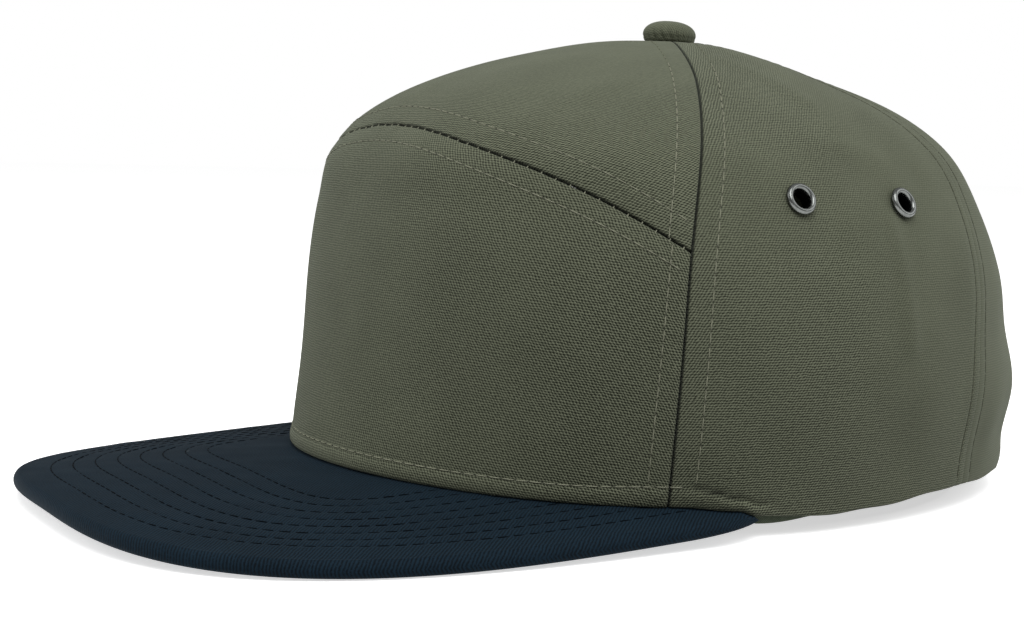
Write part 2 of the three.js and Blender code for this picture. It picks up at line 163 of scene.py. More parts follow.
# The table keeps light out of the hollow from below; this patch does it for the glowing table.
HOLLOW_SHARE = 0.9
PATCH_CORNERS = 48
PATCH_HEIGHT = 0.2 * MM
low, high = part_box("sweatband")
hollow_middle = (low + high) / 2
hollow_half = (high - low) / 2 * HOLLOW_SHARE
patch_turn = np.linspace(0, 2 * np.pi, PATCH_CORNERS, endpoint=False)
patch_x = hollow_middle.x + hollow_half.x * np.cos(patch_turn)
patch_y = hollow_middle.y + hollow_half.y * np.sin(patch_turn)
patch_points = np.column_stack([patch_x, patch_y, np.full(PATCH_CORNERS, PATCH_HEIGHT)])
patch_mesh = bpy.data.meshes.new("hollow_shade")
patch_mesh.from_pydata(patch_points.tolist(), [], [tuple(range(PATCH_CORNERS))])
stage_piece("hollow_shade", patch_mesh, albedo=0.03, glow=0.0, unseen_by=["camera"])

# The crown's form: six sewn panels of olive cotton twill over a stiffened front.
# It is the form of the solids: level sections, each a rounded outline, closing in to the apex.
# Azimuth is measured round the crown from the front, positive towards the wearer's left.

WALL = 1.6 * MM
CROWN_HEIGHT = 119 * MM
APEX_SETBACK = 8.8 * MM
CLOSING = 0.8
CROWN_SECTIONS = {
    "height": [0, 32, 55, 74.5, 90, 102.5, 111.5, 117],
    "half_width": [85.5, 88, 85.5, 79, 69.5, 55, 38.5, 21.5],
    "front": [97, 93, 91, 89, 85.5, 73, 51.5, 29],
    "back": [104, 106.5, 101, 92.5, 82, 64, 45.5, 26],
    "front_square": [1.9, 2.1, 2.35, 2.6, 2.85, 2.65, 2.45, 2.25],
    "back_square": [2.15, 2.15, 2.15, 2.15, 2.15, 2.1, 2.0, 1.9],
}
CROWN_DENTS = [
    dict(azimuth=145, spread=28, height=111, tall=7, depth=-5.2),
    dict(azimuth=145, spread=28, height=95, tall=9, depth=0.8),
    dict(azimuth=145, spread=22, height=44, tall=9, depth=-1.3),
    dict(azimuth=145, spread=22, height=27, tall=8, depth=0.9),
    dict(azimuth=145, spread=25, height=8, tall=5, depth=1.3),
]
TOP_SAG = dict(azimuth=150, spread=38, reach=24 * MM, width=13 * MM, depth=1.3 * MM)
DENT_FADE = 0.25
SAG_FADE = 8 * MM
NORMAL_STEP = 0.004

button_low, button_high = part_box("top_button")
CENTRE = np.array([0, (button_low.y + button_high.y) / 2 - APEX_SETBACK, 0])


def smoothstep(value, low, high):
    share = np.clip((value - low) / (high - low), 0, 1)
    return share * share * (3 - 2 * share)


def curve_through(keys, values):
    keys, values = np.array(keys, float), np.array(values, float)
    order = np.arange(len(keys))
    before = np.maximum(order - 1, 0)
    after = np.minimum(order + 1, len(keys) - 1)
    slopes = (values[after] - values[before]) / (keys[after] - keys[before])

    def curve(x):
        i = np.clip(np.searchsorted(keys, x, side="right") - 1, 0, len(keys) - 2)
        width = keys[i + 1] - keys[i]
        u = (x - keys[i]) / width
        start = values[i] * (1 + 2 * u) * (1 - u) ** 2 + slopes[i] * width * u * (1 - u) ** 2
        return start + values[i + 1] * u * u * (3 - 2 * u) + slopes[i + 1] * width * u * u * (u - 1)

    return curve


def height_at(level):
    return CROWN_HEIGHT * np.sin(level * np.pi / 2) ** CLOSING


def level_at(height):
    share = np.clip(height / CROWN_HEIGHT, 0, 1)
    return np.arcsin(share ** (1 / CLOSING)) * 2 / np.pi


def closing_at(level):
    return np.cos(level * np.pi / 2) ** CLOSING


section_levels = level_at(np.array(CROWN_SECTIONS["height"]) * MM)


def section_curve(column, is_size):
    values = np.array(CROWN_SECTIONS[column], float)
    if is_size:
        values = values * MM / closing_at(section_levels)
    return curve_through([*section_levels, 1], [*values, values[-1]])


side_fullness = section_curve("half_width", True)
front_fullness = section_curve("front", True)
back_fullness = section_curve("back", True)
front_squareness = section_curve("front_square", False)
back_squareness = section_curve("back_square", False)


def crown_point(azimuth, level):
    """A point of the crown's outside; the level runs from 0 at the table to 1 at the apex."""
    sine, cosine = np.sin(np.radians(azimuth)), np.cos(np.radians(azimuth))
    is_front = cosine > 0
    closing = closing_at(level)
    side = side_fullness(level) * closing
    reach = np.where(is_front, front_fullness(level), back_fullness(level)) * closing
    square = np.where(is_front, front_squareness(level), back_squareness(level))
    height = height_at(level)
    across = np.abs(sine / side) ** square
    radius = (across + np.abs(cosine / reach) ** square) ** (-1 / square)
    for dent in CROWN_DENTS:
        round_it = (np.abs(azimuth) - dent["azimuth"]) / dent["spread"]
        up_it = (height - dent["height"] * MM) / (dent["tall"] * MM)
        fade = smoothstep(closing, 0, DENT_FADE)
        radius = radius + dent["depth"] * MM * np.exp(-round_it ** 2 - up_it ** 2) * fade
    y = -radius * cosine + APEX_SETBACK * height / CROWN_HEIGHT
    round_it = (np.abs(azimuth) - TOP_SAG["azimuth"]) / TOP_SAG["spread"]
    out_it = (radius - TOP_SAG["reach"]) / TOP_SAG["width"]
    sag = TOP_SAG["depth"] * np.exp(-round_it ** 2 - out_it ** 2)
    height = height - sag * smoothstep(radius, 0, SAG_FADE)
    return np.stack(np.broadcast_arrays(radius * sine, y, height), axis=-1)


def crown_normal(azimuth, level):
    low = np.maximum(level - NORMAL_STEP, NORMAL_STEP / 2)
    high = np.minimum(level + NORMAL_STEP, 1 - NORMAL_STEP)
    along = crown_point(azimuth + 1, level) - crown_point(azimuth - 1, level)
    up = crown_point(azimuth, high) - crown_point(azimuth, low)
    normal = np.cross(along, up)
    return normal / np.linalg.norm(normal, axis=-1, keepdims=True)


def wall_point(azimuth, level, depth):
    return crown_point(azimuth, level) - crown_normal(azimuth, level) * depth


# The bill's top is nearly level along and arched across; the crown's rim stands on it.
BILL_HEIGHT = 10.9 * MM
BILL_HEIGHT_Y = -90 * MM
BILL_RISE = 0.046
BILL_ARCH = 7.22 * MM
BILL_ARCH_X = 90 * MM
BILL_TAIL_AZIMUTH = 75.7
TAIL_DIPS = [dict(start=63, end=73, depth=1.3 * MM), dict(start=73, end=76, depth=1.4 * MM)]
RIM_AZIMUTHS = [76.6, 91, 106, 122, 150, 180]
RIM_HEIGHTS = [5.3, 4.2, 5.3, 6.1, 4.5, 0.0]
RIM_WAVE = 0.16 * MM
RIM_WAVES = [dict(rate=27, start=0), dict(rate=16, start=1)]
RIM_WAVES_RISE = (80, 95)
RIM_WAVES_FALL = (150, 170)
RIM_GAP = 0.05 * MM
SIDE_SEAM = dict(azimuth=61.3, drift=2.4, drift_levels=(0.25, 0.7), tuck=3.5, tuck_levels=(0.68, 0.98))
REAR_SEAM = dict(azimuth=121.8, drift=7.5, drift_levels=(0.05, 0.5))
ARCH_SEAM = dict(height=94.7, fall=26.0, droop=0.7, azimuth=60)
APEX_RING = 0.99


def azimuth_of(x, y):
    return np.degrees(np.arctan2(x, -y))


def bill_plane(x, y):
    return BILL_HEIGHT + BILL_RISE * (y - BILL_HEIGHT_Y) - BILL_ARCH * (x / BILL_ARCH_X) ** 2


def bill_top(x, y):
    """The board thins towards its two tails, where the crown's hem closes over it."""
    around = azimuth_of(np.abs(x), y)
    return bill_plane(x, y) - sum(d["depth"] * smoothstep(around, d["start"], d["end"]) for d in TAIL_DIPS)


rim_curve = curve_through([*RIM_AZIMUTHS, 210], np.array([*RIM_HEIGHTS, RIM_HEIGHTS[-2]]) * MM)


def rim_behind_bill(around):
    """The soft rim waves a little between the bill's end and the back."""
    wave = sum(np.sin(np.radians(around) * w["rate"] + w["start"]) for w in RIM_WAVES)
    wave = RIM_WAVE * wave * smoothstep(around, *RIM_WAVES_RISE)
    return rim_curve(around) + wave * (1 - smoothstep(around, *RIM_WAVES_FALL))


def rim_level(azimuth, depth=WALL, thickness=WALL, stand=RIM_GAP):
    """The level of the crown's lower edge: on the bill in front, and on the rim's curve behind it."""
    around = np.abs(azimuth)
    behind = level_at(rim_behind_bill(np.maximum(around, RIM_AZIMUTHS[0])))
    level = np.full(np.shape(around), 0.05)
    for _ in range(4):
        faces = [wall_point(azimuth, level, d) for d in (depth, depth - thickness)]
        lifts = [bill_top(face[..., 0], face[..., 1]) - face[..., 2] for face in faces]
        level = level_at(height_at(level) + np.maximum(*lifts) + stand)
    share = smoothstep(around, BILL_TAIL_AZIMUTH + 0.1, RIM_AZIMUTHS[0])
    return np.where(around >= RIM_AZIMUTHS[0], behind, level + (behind - level) * share)


def side_seam(level):
    drift = SIDE_SEAM["drift"] * smoothstep(level, *SIDE_SEAM["drift_levels"])
    return SIDE_SEAM["azimuth"] + drift - SIDE_SEAM["tuck"] * smoothstep(level, *SIDE_SEAM["tuck_levels"])


def rear_seam(level):
    return REAR_SEAM["azimuth"] + REAR_SEAM["drift"] * smoothstep(level, *REAR_SEAM["drift_levels"])


def arch_level(azimuth):
    share = azimuth / ARCH_SEAM["azimuth"]
    height = ARCH_SEAM["height"] - ARCH_SEAM["fall"] * share ** 2 - ARCH_SEAM["droop"] * share ** 4
    return level_at(height * MM)


def run_lengths(points, axis=0):
    """How far each point of a line or a grid lies from its first one, along the points themselves."""
    steps = np.linalg.norm(np.diff(points, axis=axis), axis=-1)
    pad = [(0, 0)] * steps.ndim
    pad[axis] = (1, 0)
    return np.pad(np.cumsum(steps, axis=axis), pad)


# The cloth is laid on the form by true lengths, so that its weave keeps its size everywhere.
LENGTH_LEVELS = 400
JUST_UNDER = 0.001
length_azimuths = np.linspace(0, 180, 181)
length_levels = np.linspace(0, 1, LENGTH_LEVELS + 1)
length_grid = crown_point(length_azimuths[:, None], np.minimum(length_levels, 0.9999)[None, :])
round_lengths = run_lengths(length_grid, 0)
up_lengths = run_lengths(length_grid, 1)


def sample_lengths(lengths, azimuth, level):
    a = np.clip(np.abs(azimuth), 0, 180 - JUST_UNDER)
    b = np.clip(level * LENGTH_LEVELS, 0, LENGTH_LEVELS - JUST_UNDER)
    i, j = a.astype(int), b.astype(int)
    u, v = a - i, b - j
    low = lengths[i, j] * (1 - u) + lengths[i + 1, j] * u
    high = lengths[i, j + 1] * (1 - u) + lengths[i + 1, j + 1] * u
    return low * (1 - v) + high * v


def cloth_place(azimuth, level, middle):
    """Where a point lies on its panel's cloth: across from the panel's middle, and up."""
    reach = sample_lengths(round_lengths, azimuth, level) * np.sign(azimuth)
    centre = sample_lengths(round_lengths, np.full(np.shape(azimuth), float(middle)), level) * np.sign(middle)
    return np.stack([reach - centre, sample_lengths(up_lengths, azimuth, level)], axis=-1)


# Crown panels: six walls of olive cotton twill, each sewn to its neighbours with its edges turned under.
# Between a seam and its topstitching the folded allowance makes a low welt; each stitch row pulls a groove.

# A seam's shade is painted shade: how dark the cloth is coloured in its groove.
SEAMS = {
    "open": dict(slit=0.3 * MM, roll=0.55 * MM, welt=0.16 * MM, valley=0, shade=0.9),
    "arched": dict(slit=0.34 * MM, roll=0.75 * MM, welt=0, valley=0.38 * MM, shade=0.75),
    "felled": dict(slit=0, roll=0.04 * MM, welt=0.06 * MM, valley=0, shade=0),
}
SEAM_SHADE_WIDTH = 0.26 * MM
# Painted shade along the hem's tight fold beside the bill's tails.
HEM_FOLD_SHADE = 0.8
HEM_FOLD_WIDTH = 0.55 * MM
RIM_ROLL = 0.8 * MM
STITCH_DIP = 0.1 * MM
STITCH_DIP_WIDTH = 0.5 * MM
HEM_PUFF = 0.4 * MM
HEM_STITCH = 4.3 * MM
HEM_RISE = dict(by=0.7 * MM, azimuths=(45, 62))
HEM_FALL = dict(by=2.0 * MM, azimuths=(65, 74.5))
WELT_RISE = 1.4 * MM
WELT_FALL = 0.9 * MM
PANEL_STEP = 1.5 * MM
HEM_TIGHT = (62, 68)
HEM_SHADE_END = (71, 74)
HEM_PUFF_END = (75, 79)
FOLD_SIZE = 24 * MM
FOLD_UPRIGHT = 0.6
FOLD_FADE = 8 * MM
SLIT_FADE = 1 * MM
PUCKER = 0.3
PUCKER_SIZE = 5 * MM
WELT_FADE = (15 * MM, 42 * MM)
SOFT_FOLDS = [
    dict(start=(101.5, 74), end=(103.0, 44), width=2.4, depth=0.7),
    dict(start=(97.0, 85), end=(97.0, 85), width=7.0, depth=-0.9),
    dict(start=(113.5, 84), end=(113.5, 84), width=6.0, depth=-0.8),
    dict(start=(91.5, 92), end=(104.5, 90), width=2.5, depth=0.35),
    dict(start=(80.0, 113), end=(96.0, 103), width=4.0, depth=0.5),
]


def hem_distance(azimuth):
    """How far the hem's stitching lies above the rim: it comes down towards the bill's two ends."""
    around = np.abs(azimuth)
    rise = HEM_RISE["by"] * smoothstep(around, *HEM_RISE["azimuths"])
    return HEM_STITCH + rise - HEM_FALL["by"] * smoothstep(around, *HEM_FALL["azimuths"])


def soft_folds(skin):
    """Low folds and bulges of the side panels, each along a line from start to end, on both sides alike."""
    relief = 0
    skin = skin * np.where(np.arange(3) == 0, np.sign(skin[..., :1]), 1)
    for fold in SOFT_FOLDS:
        ends = (fold["start"], fold["end"])
        start, end = (crown_point(np.array(a * 1.0), level_at(z * MM)) for a, z in ends)
        along = end - start
        share = np.clip(((skin - start) @ along) / max(along @ along, 1e-12), 0, 1)
        distance = np.linalg.norm(skin - start - share[..., None] * along, axis=-1)
        relief = relief + fold["depth"] * MM * np.exp(-(distance / (fold["width"] * MM)) ** 2)
    return relief


def soft_noise(x, y, size, seed):
    """Slow, smooth unevenness with humps of about the given size."""
    random = np.random.default_rng(seed)
    total = 0
    for _ in range(10):
        direction = random.uniform(0, 2 * np.pi)
        rate = 2 * np.pi / (size * random.uniform(0.7, 1.6))
        wave = x * np.cos(direction) + y * np.sin(direction)
        total = total + np.cos(wave * rate + random.uniform(0, 2 * np.pi))
    return total / np.sqrt(10)


def edge_roll(distance, radius):
    inside = np.clip(1 - distance / radius, 0, 1)
    return radius * (1 - np.sqrt(1 - inside ** 2))


def seam_relief(distance, stitch, seam):
    """The folded allowance lifts the cloth beside a seam, or the seam pulls it down into a valley."""
    rise = smoothstep(distance, 0, WELT_RISE) * (1 - smoothstep(distance, stitch - WELT_FALL, stitch))
    valley = 2 * seam["valley"] * (1 - smoothstep(distance, -stitch, stitch))
    dip = STITCH_DIP * np.exp(-((distance - stitch) / STITCH_DIP_WIDTH) ** 2)
    return seam["welt"] * rise - valley - dip


def edge_shares(width):
    """Shares across a panel, close together near its two edges."""
    steps_mm = (np.arange(0, 0.7, 0.12), np.arange(0.8, 1.6, 0.25), np.arange(1.7, 9, 0.5))
    close = np.concatenate(steps_mm) * MM
    count = max(int((width - 2 * close[-1]) / PANEL_STEP), 2)
    inner = np.linspace(close[-1], width - close[-1], count)[1:-1]
    return np.concatenate([close, inner, (width - close)[::-1]]) / width


def shell_faces(outer, inner, is_ring=False):
    """Closes a wall between two grids of points; a ring's last column meets its first."""
    columns, rows = outer.shape[:2]
    points = np.concatenate([outer.reshape(-1, 3), inner.reshape(-1, 3)])

    def at(side, column, row):
        return side * columns * rows + (column % columns) * rows + row

    spans = np.arange(columns if is_ring else columns - 1)
    c, r = (index.ravel() for index in np.meshgrid(spans, np.arange(rows - 1), indexing="ij"))
    faces = [
        np.stack([at(0, c, r), at(0, c + 1, r), at(0, c + 1, r + 1), at(0, c, r + 1)], 1),
        np.stack([at(1, c, r), at(1, c, r + 1), at(1, c + 1, r + 1), at(1, c + 1, r)], 1),
    ]
    c = spans
    top = rows - 1
    faces.append(np.stack([at(0, c, 0), at(1, c, 0), at(1, c + 1, 0), at(0, c + 1, 0)], 1))
    faces.append(np.stack([at(0, c, top), at(0, c + 1, top), at(1, c + 1, top), at(1, c, top)], 1))
    if not is_ring:
        r = np.arange(rows - 1)
        end = columns - 1
        faces.append(np.stack([at(0, 0, r), at(0, 0, r + 1), at(1, 0, r + 1), at(1, 0, r)], 1))
        faces.append(np.stack([at(0, end, r), at(1, end, r), at(1, end, r + 1), at(0, end, r + 1)], 1))
    faces = np.concatenate(faces)
    a, b, c, d = (points[faces[:, i]] for i in range(4))
    volume = np.sum(np.cross(b - a, c - a) * a) + np.sum(np.cross(c - a, d - a) * a)
    return points, faces if volume > 0 else faces[:, ::-1]


def make_piece(name, points, faces, cloth, material, weave=None):
    """weave holds, for each point, the weave's strength, its slanted rib's share and the painted shade of the
    seam's groove or the hem's fold.
    """
    mesh = bpy.data.meshes.new(name)
    places = points + CENTRE
    places[:, 2] = np.maximum(places[:, 2], 0)
    mesh.from_pydata(places.tolist(), [], faces.tolist())
    layer = mesh.uv_layers.new(name="cloth")
    corner = np.zeros(len(mesh.loops), np.int32)
    mesh.loops.foreach_get("vertex_index", corner)
    layer.data.foreach_set("uv", cloth[corner].astype(np.float32).ravel())
    if weave is not None:
        look = mesh.attributes.new("weave_and_painted_shade", "FLOAT_VECTOR", "CORNER")
        look.data.foreach_set("vector", weave[corner].astype(np.float32).ravel())
    mesh.shade_smooth()
    mesh.materials.append(material)
    piece = bpy.data.objects.new(name, mesh)
    bpy.context.scene.collection.objects.link(piece)
    return piece


def add_node(tree, kind, values=None, **settings):
    node = tree.nodes.new(kind)
    for name, value in settings.items():
        setattr(node, name, value)
    for socket, value in (values or {}).items():
        if isinstance(value, bpy.types.NodeSocket):
            tree.links.new(value, node.inputs[socket])
        else:
            node.inputs[socket].default_value = value
    return node


def maths(tree, operation, *values):
    return add_node(tree, "ShaderNodeMath", dict(enumerate(values)), operation=operation).outputs[0]


def blend_colour(tree, share, dark, light):
    """Mixes two colours, each given as red, green and blue or as another node's colour."""
    ends = {6: dark, 7: light}
    ends = {i: end if isinstance(end, bpy.types.NodeSocket) else (*end, 1) for i, end in ends.items()}
    return add_node(tree, "ShaderNodeMix", {0: share, **ends}, data_type="RGBA").outputs[2]


def split(tree, vector):
    return add_node(tree, "ShaderNodeSeparateXYZ", {0: vector}).outputs


def cloth_uv(tree):
    return add_node(tree, "ShaderNodeUVMap", uv_map="cloth").outputs[0]


def noise(tree, place, scale, detail):
    values = {"Vector": place, "Scale": scale, "Detail": detail}
    return add_node(tree, "ShaderNodeTexNoise", values).outputs[0]


def wave(tree, turns):
    return maths(tree, "COSINE", maths(tree, "MULTIPLY", turns, 2 * np.pi))


def roughen(tree, value, grain, amount):
    """Adds a noise to a value, as far above it as below."""
    return maths(tree, "MULTIPLY_ADD", maths(tree, "SUBTRACT", grain, 0.5), amount, value)


def add_relief(tree, shader, height, depth):
    bump = add_node(tree, "ShaderNodeBump", {"Strength": 1.0, "Distance": depth, "Height": height})
    tree.links.new(bump.outputs[0], shader.inputs["Normal"])


OLIVE_DARK = (0.0190, 0.0215, 0.0128)
OLIVE_LIGHT = (0.1640, 0.1770, 0.1200)
# Painted shade: the cloth's colour deep in a seam's groove.
OLIVE_PAINTED_SEAM_SHADE = (0.0040, 0.0045, 0.0030)
ROWS_PER_MM = 1.64
SLANTS_PER_MM = 1.22
TWILL_RELIEF = 0.08 * MM


def olive_twill(name, slant, droop):
    """Cotton twill: weft rows with a slanted rib across them, read from the cloth's own lengths."""
    material, tree, shader = new_material(name)
    place = cloth_uv(tree)
    parts = split(tree, place)
    look = add_node(tree, "ShaderNodeAttribute", attribute_name="weave_and_painted_shade").outputs["Vector"]
    strength, slant_weight, seam_shade = split(tree, look)
    across = maths(tree, "MULTIPLY", parts[0], 1 / MM)
    up = maths(tree, "MULTIPLY", parts[1], 1 / MM)
    up = maths(tree, "ADD", up, maths(tree, "MULTIPLY", maths(tree, "MULTIPLY", across, across), droop))
    wobble = maths(tree, "MULTIPLY", maths(tree, "SUBTRACT", noise(tree, place, 450.0, 1.0), 0.5), 0.85)
    yarn = noise(tree, place, 1300.0, 2.0)
    cloud = noise(tree, place, 60.0, 3.0)

    rows = wave(tree, maths(tree, "ADD", maths(tree, "MULTIPLY", up, ROWS_PER_MM), wobble))
    slant_turns = maths(tree, "MULTIPLY", across, SLANTS_PER_MM)
    slant_turns = maths(tree, "ADD", slant_turns, maths(tree, "MULTIPLY", up, slant * ROWS_PER_MM / 2))
    slants = wave(tree, maths(tree, "ADD", slant_turns, wobble))

    weave = maths(tree, "ADD", rows, maths(tree, "MULTIPLY", slants, slant_weight))
    weave = maths(tree, "DIVIDE", weave, maths(tree, "ADD", slant_weight, 1.0))
    weave = roughen(tree, weave, yarn, 1.3)
    weave = maths(tree, "MULTIPLY_ADD", maths(tree, "MULTIPLY", weave, strength), 0.5, 0.5)
    cloth = blend_colour(tree, roughen(tree, weave, cloud, 0.25), OLIVE_DARK, OLIVE_LIGHT)
    # Painted shade darkens the cloth in seam grooves and along the hem's fold.
    tree.links.new(blend_colour(tree, seam_shade, cloth, OLIVE_PAINTED_SEAM_SHADE), shader.inputs["Base Color"])
    add_relief(tree, shader, weave, TWILL_RELIEF)
    tree.links.new(maths(tree, "MULTIPLY_ADD", yarn, 0.12, 0.8), shader.inputs["Roughness"])
    shader.inputs["Specular IOR Level"].default_value = 0.12
    shader.inputs["Sheen Weight"].default_value = 0.22
    shader.inputs["Sheen Roughness"].default_value = 0.5
    shader.inputs["Sheen Tint"].default_value = (0.55, 0.6, 0.5, 1)
    return material


front_twill = olive_twill("olive_twill_front", 1, 0.00082)
upper_twill = olive_twill("olive_twill_upper_front", -1, 0.0015)
side_twill = olive_twill("olive_twill_side", -1, 0.0)


# How strongly each panel's weave stands out at a place, and its slanted rib's share
def front_look(around, height, seam):
    near_seam = smoothstep(around, 35, 52) * (1 - smoothstep(height, 45 * MM, 80 * MM))
    return (1.4 + 1.1 * near_seam) * (0.7 + 0.3 * smoothstep(around, 5, 35)), 1.0


def upper_look(around, height, seam):
    return 1.6 - 0.9 * smoothstep(height, 92 * MM, 115 * MM), 0.9


SIDE_WEAVE = [(-0.6, 10, 38), (-0.2, 40, 55), (-0.35, 58, 74), (0.45, 86, 100)]


def side_look(around, height, seam):
    strength = 1.35 - 0.75 * smoothstep(around, 84, 104)
    by_height = 1.8
    for change, low, high in SIDE_WEAVE:
        by_height = by_height + change * smoothstep(height, low * MM, high * MM)
    return strength * by_height, 0.75 + 0.35 * (1 - smoothstep(seam, 5 * MM, 6.5 * MM))


def back_look(around, height, seam):
    return 0.35, 0.7


def crown_panel(node, start, end, bottom, top, middle, stitches, width, height, soft, material, look):
    """A sewn panel between two seams; stitches holds how far from each edge its topstitching runs."""
    name = node + "_twill"
    across = edge_shares(width)[:, None]
    up = edge_shares(height)[None, :]
    level = np.full((across.size, up.size), 0.3)  # a first guess, which the loop makes good
    for _ in range(8):
        azimuth = start(level) + (end(level) - start(level)) * across
        level = bottom(azimuth) + (top(azimuth) - bottom(azimuth)) * up
    around = np.abs(azimuth)
    skin = crown_point(azimuth, level)
    normal = crown_normal(azimuth, level)
    width_run, height_run = run_lengths(skin, 0), run_lengths(skin, 1)
    reach = {
        "start": width_run,
        "end": width_run[-1:] - width_run,
        "bottom": height_run,
        "top": height_run[:, -1:] - height_run,
    }
    sides = np.minimum(reach["start"], reach["end"])
    place = cloth_place(azimuth, level, middle)
    folds = soft * soft_noise(place[..., 0], place[..., 1] * FOLD_UPRIGHT, FOLD_SIZE, seed=len(name))
    folds = folds + soft_folds(skin)
    folds = folds * smoothstep(np.minimum(sides, reach["bottom"]), 0, FOLD_FADE)

    relief = folds.copy()
    pull = np.zeros(skin.shape)
    shade = np.zeros(folds.shape)
    for edge, (stitch, seam_name) in stitches.items():
        if seam_name == "hem":
            hem = hem_distance(azimuth)
            relief -= edge_roll(reach[edge], RIM_ROLL)
            tight = smoothstep(around, *HEM_TIGHT)
            puff = (1 + 0.5 * tight) * HEM_PUFF * np.sin(np.pi * np.clip(reach[edge] / hem, 0, 1))
            dip = (1 + 4 * tight) * STITCH_DIP * np.exp(-((reach[edge] - hem) / STITCH_DIP_WIDTH) ** 2)
            relief += (1 - smoothstep(around, *HEM_PUFF_END)) * (puff - dip)
            # Painted shade along the hem's fold.
            fold = np.exp(-((reach[edge] - hem) / HEM_FOLD_WIDTH) ** 2)
            fold = HEM_FOLD_SHADE * fold * tight * (1 - smoothstep(around, *HEM_SHADE_END))
            shade = np.maximum(shade, fold)
            continue
        axis = 0 if edge in ("start", "end") else 1
        inwards = np.gradient(skin, axis=axis) * (1 if edge in ("start", "bottom") else -1)
        inwards /= np.maximum(np.linalg.norm(inwards, axis=-1, keepdims=True), 1e-9)
        seam = SEAMS[seam_name]
        slit = seam["slit"] / 2 * (1 - smoothstep(reach[edge], 0, SLIT_FADE))
        pull += inwards * slit[..., None]
        pucker = 1 + PUCKER * soft_noise(place[..., 0], place[..., 1], PUCKER_SIZE, seed=7)
        fade = smoothstep(reach["top"], *WELT_FADE) if axis == 0 and top is apex_ring else 1
        # Painted shade in the seam's groove.
        shade = np.maximum(shade, seam["shade"] * np.exp(-(reach[edge] / SEAM_SHADE_WIDTH) ** 2))
        welt = seam_relief(reach[edge], stitch, seam) * pucker * fade
        relief += welt - edge_roll(reach[edge], seam["roll"])
    outer = skin + pull + normal * relief[..., None]
    inner = skin + normal * (folds - WALL)[..., None]
    points, faces = shell_faces(outer, inner)
    cloth = np.concatenate([place.reshape(-1, 2), place.reshape(-1, 2)])
    strength, slant_weight = look(around, skin[..., 2], sides)
    weave = np.stack(np.broadcast_arrays(strength, slant_weight, shade), axis=-1).reshape(-1, 3)
    piece = make_piece(name, points, faces, cloth, material, np.concatenate([weave, weave]))
    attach(piece, "root")
    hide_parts(node)
    return {"piece": piece, "points": outer, "normals": normal, "reach": reach,
            "azimuth": azimuth, "stitches": stitches}


def mirrored(seam):
    return lambda level: -seam(level)


def apex_ring(azimuth):
    return np.full(np.shape(azimuth), APEX_RING)


def back_seam(level):
    return np.full(np.shape(level), 180.0)


def sewn(distance, seam_name, *edges):
    """The same topstitching along each of the edges."""
    return {edge: (distance * MM, seam_name) for edge in edges}


panels = {}
panels["front"] = crown_panel(
    "front_panel", mirrored(side_seam), side_seam, rim_level, arch_level, middle=0,
    stitches={**sewn(5.2, "open", "start", "end"), **sewn(5.6, "arched", "top"), **sewn(0, "hem", "bottom")},
    width=200 * MM, height=88 * MM, soft=0.08 * MM, material=front_twill, look=front_look)
panels["upper"] = crown_panel(
    "upper_front_panel", mirrored(side_seam), side_seam, arch_level, apex_ring, middle=0,
    stitches={**sewn(6.3, "open", "start", "end"), **sewn(6.3, "arched", "bottom")},
    width=180 * MM, height=90 * MM, soft=0.08 * MM, material=upper_twill, look=upper_look)
for side_name, side in (("left", 1), ("right", -1)):
    near, far = ("start", "end") if side > 0 else ("end", "start")
    seams = (side_seam, rear_seam) if side > 0 else (mirrored(rear_seam), mirrored(side_seam))
    panels["side_" + side_name] = crown_panel(
        "side_panel_" + side_name, *seams, rim_level, apex_ring, middle=side * 92,
        stitches={**sewn(6.0, "open", near), **sewn(3.6, "felled", far), **sewn(0, "hem", "bottom")},
        width=95 * MM, height=140 * MM, soft=0.14 * MM, material=side_twill, look=side_look)
    seams = (rear_seam, back_seam) if side > 0 else (mirrored(back_seam), mirrored(rear_seam))
    panels["back_" + side_name] = crown_panel(
        "back_panel_" + side_name, *seams, rim_level, apex_ring, middle=side * 151,
        stitches={**sewn(3.6, "felled", near, far), **sewn(0, "hem", "bottom")},
        width=100 * MM, height=145 * MM, soft=0.2 * MM, material=side_twill, look=back_look)

# Top button: a small metal button covered in the same twill, its cloth gathered under the edge.
# Its shank goes down through the apex to a plain plate inside.

BUTTON_RADIUS = 7.3 * MM
BUTTON_HEIGHT = 6.1 * MM
BUTTON_TILT = 3.0
BUTTON_SINK = 0.25 * MM
GATHERS_AT = -62
GATHER_SPREAD = 42
GATHER_DEPTH = 0.075
GATHER_LEAST = 0.012
GATHER_HEIGHTS = (4.4 * MM, 1.4 * MM)
BUTTON_SEGMENTS = 120
SHANK_RADIUS = 1.8 * MM
PLATE_RADIUS = 5.0 * MM
PLATE_THICKNESS = 0.8 * MM


def turned_grid(profile, segments):
    """A profile of (radius, height) pairs turned round the upright axis."""
    radius, height = np.array(profile).T[:, None]
    angle = np.linspace(0, 2 * np.pi, segments, endpoint=False)[:, None]
    grid = np.stack(np.broadcast_arrays(radius * np.cos(angle), radius * np.sin(angle), height), axis=-1)
    return grid, np.broadcast_to(angle, grid.shape[:2])


def grid_piece(name, grid, cloth, material, closes, weave=None):
    """A turned body; closes says that the profile meets itself, or else both its ends lie on the axis."""
    columns, rows = grid.shape[:2]
    last = rows if closes else rows - 1
    c, r = (index.ravel() for index in np.meshgrid(np.arange(columns), np.arange(last), indexing="ij"))
    c_next, r_next = (c + 1) % columns, (r + 1) % rows
    faces = np.stack([c * rows + r, c_next * rows + r, c_next * rows + r_next, c * rows + r_next], 1)
    piece = make_piece(name, grid.reshape(-1, 3), faces, cloth.reshape(-1, 2), material, weave)
    merged = bmesh.new()
    merged.from_mesh(piece.data)
    bmesh.ops.remove_doubles(merged, verts=merged.verts, dist=1e-7)
    bmesh.ops.recalc_face_normals(merged, faces=merged.faces)
    merged.to_mesh(piece.data)
    merged.free()
    piece.data.shade_smooth()
    return piece


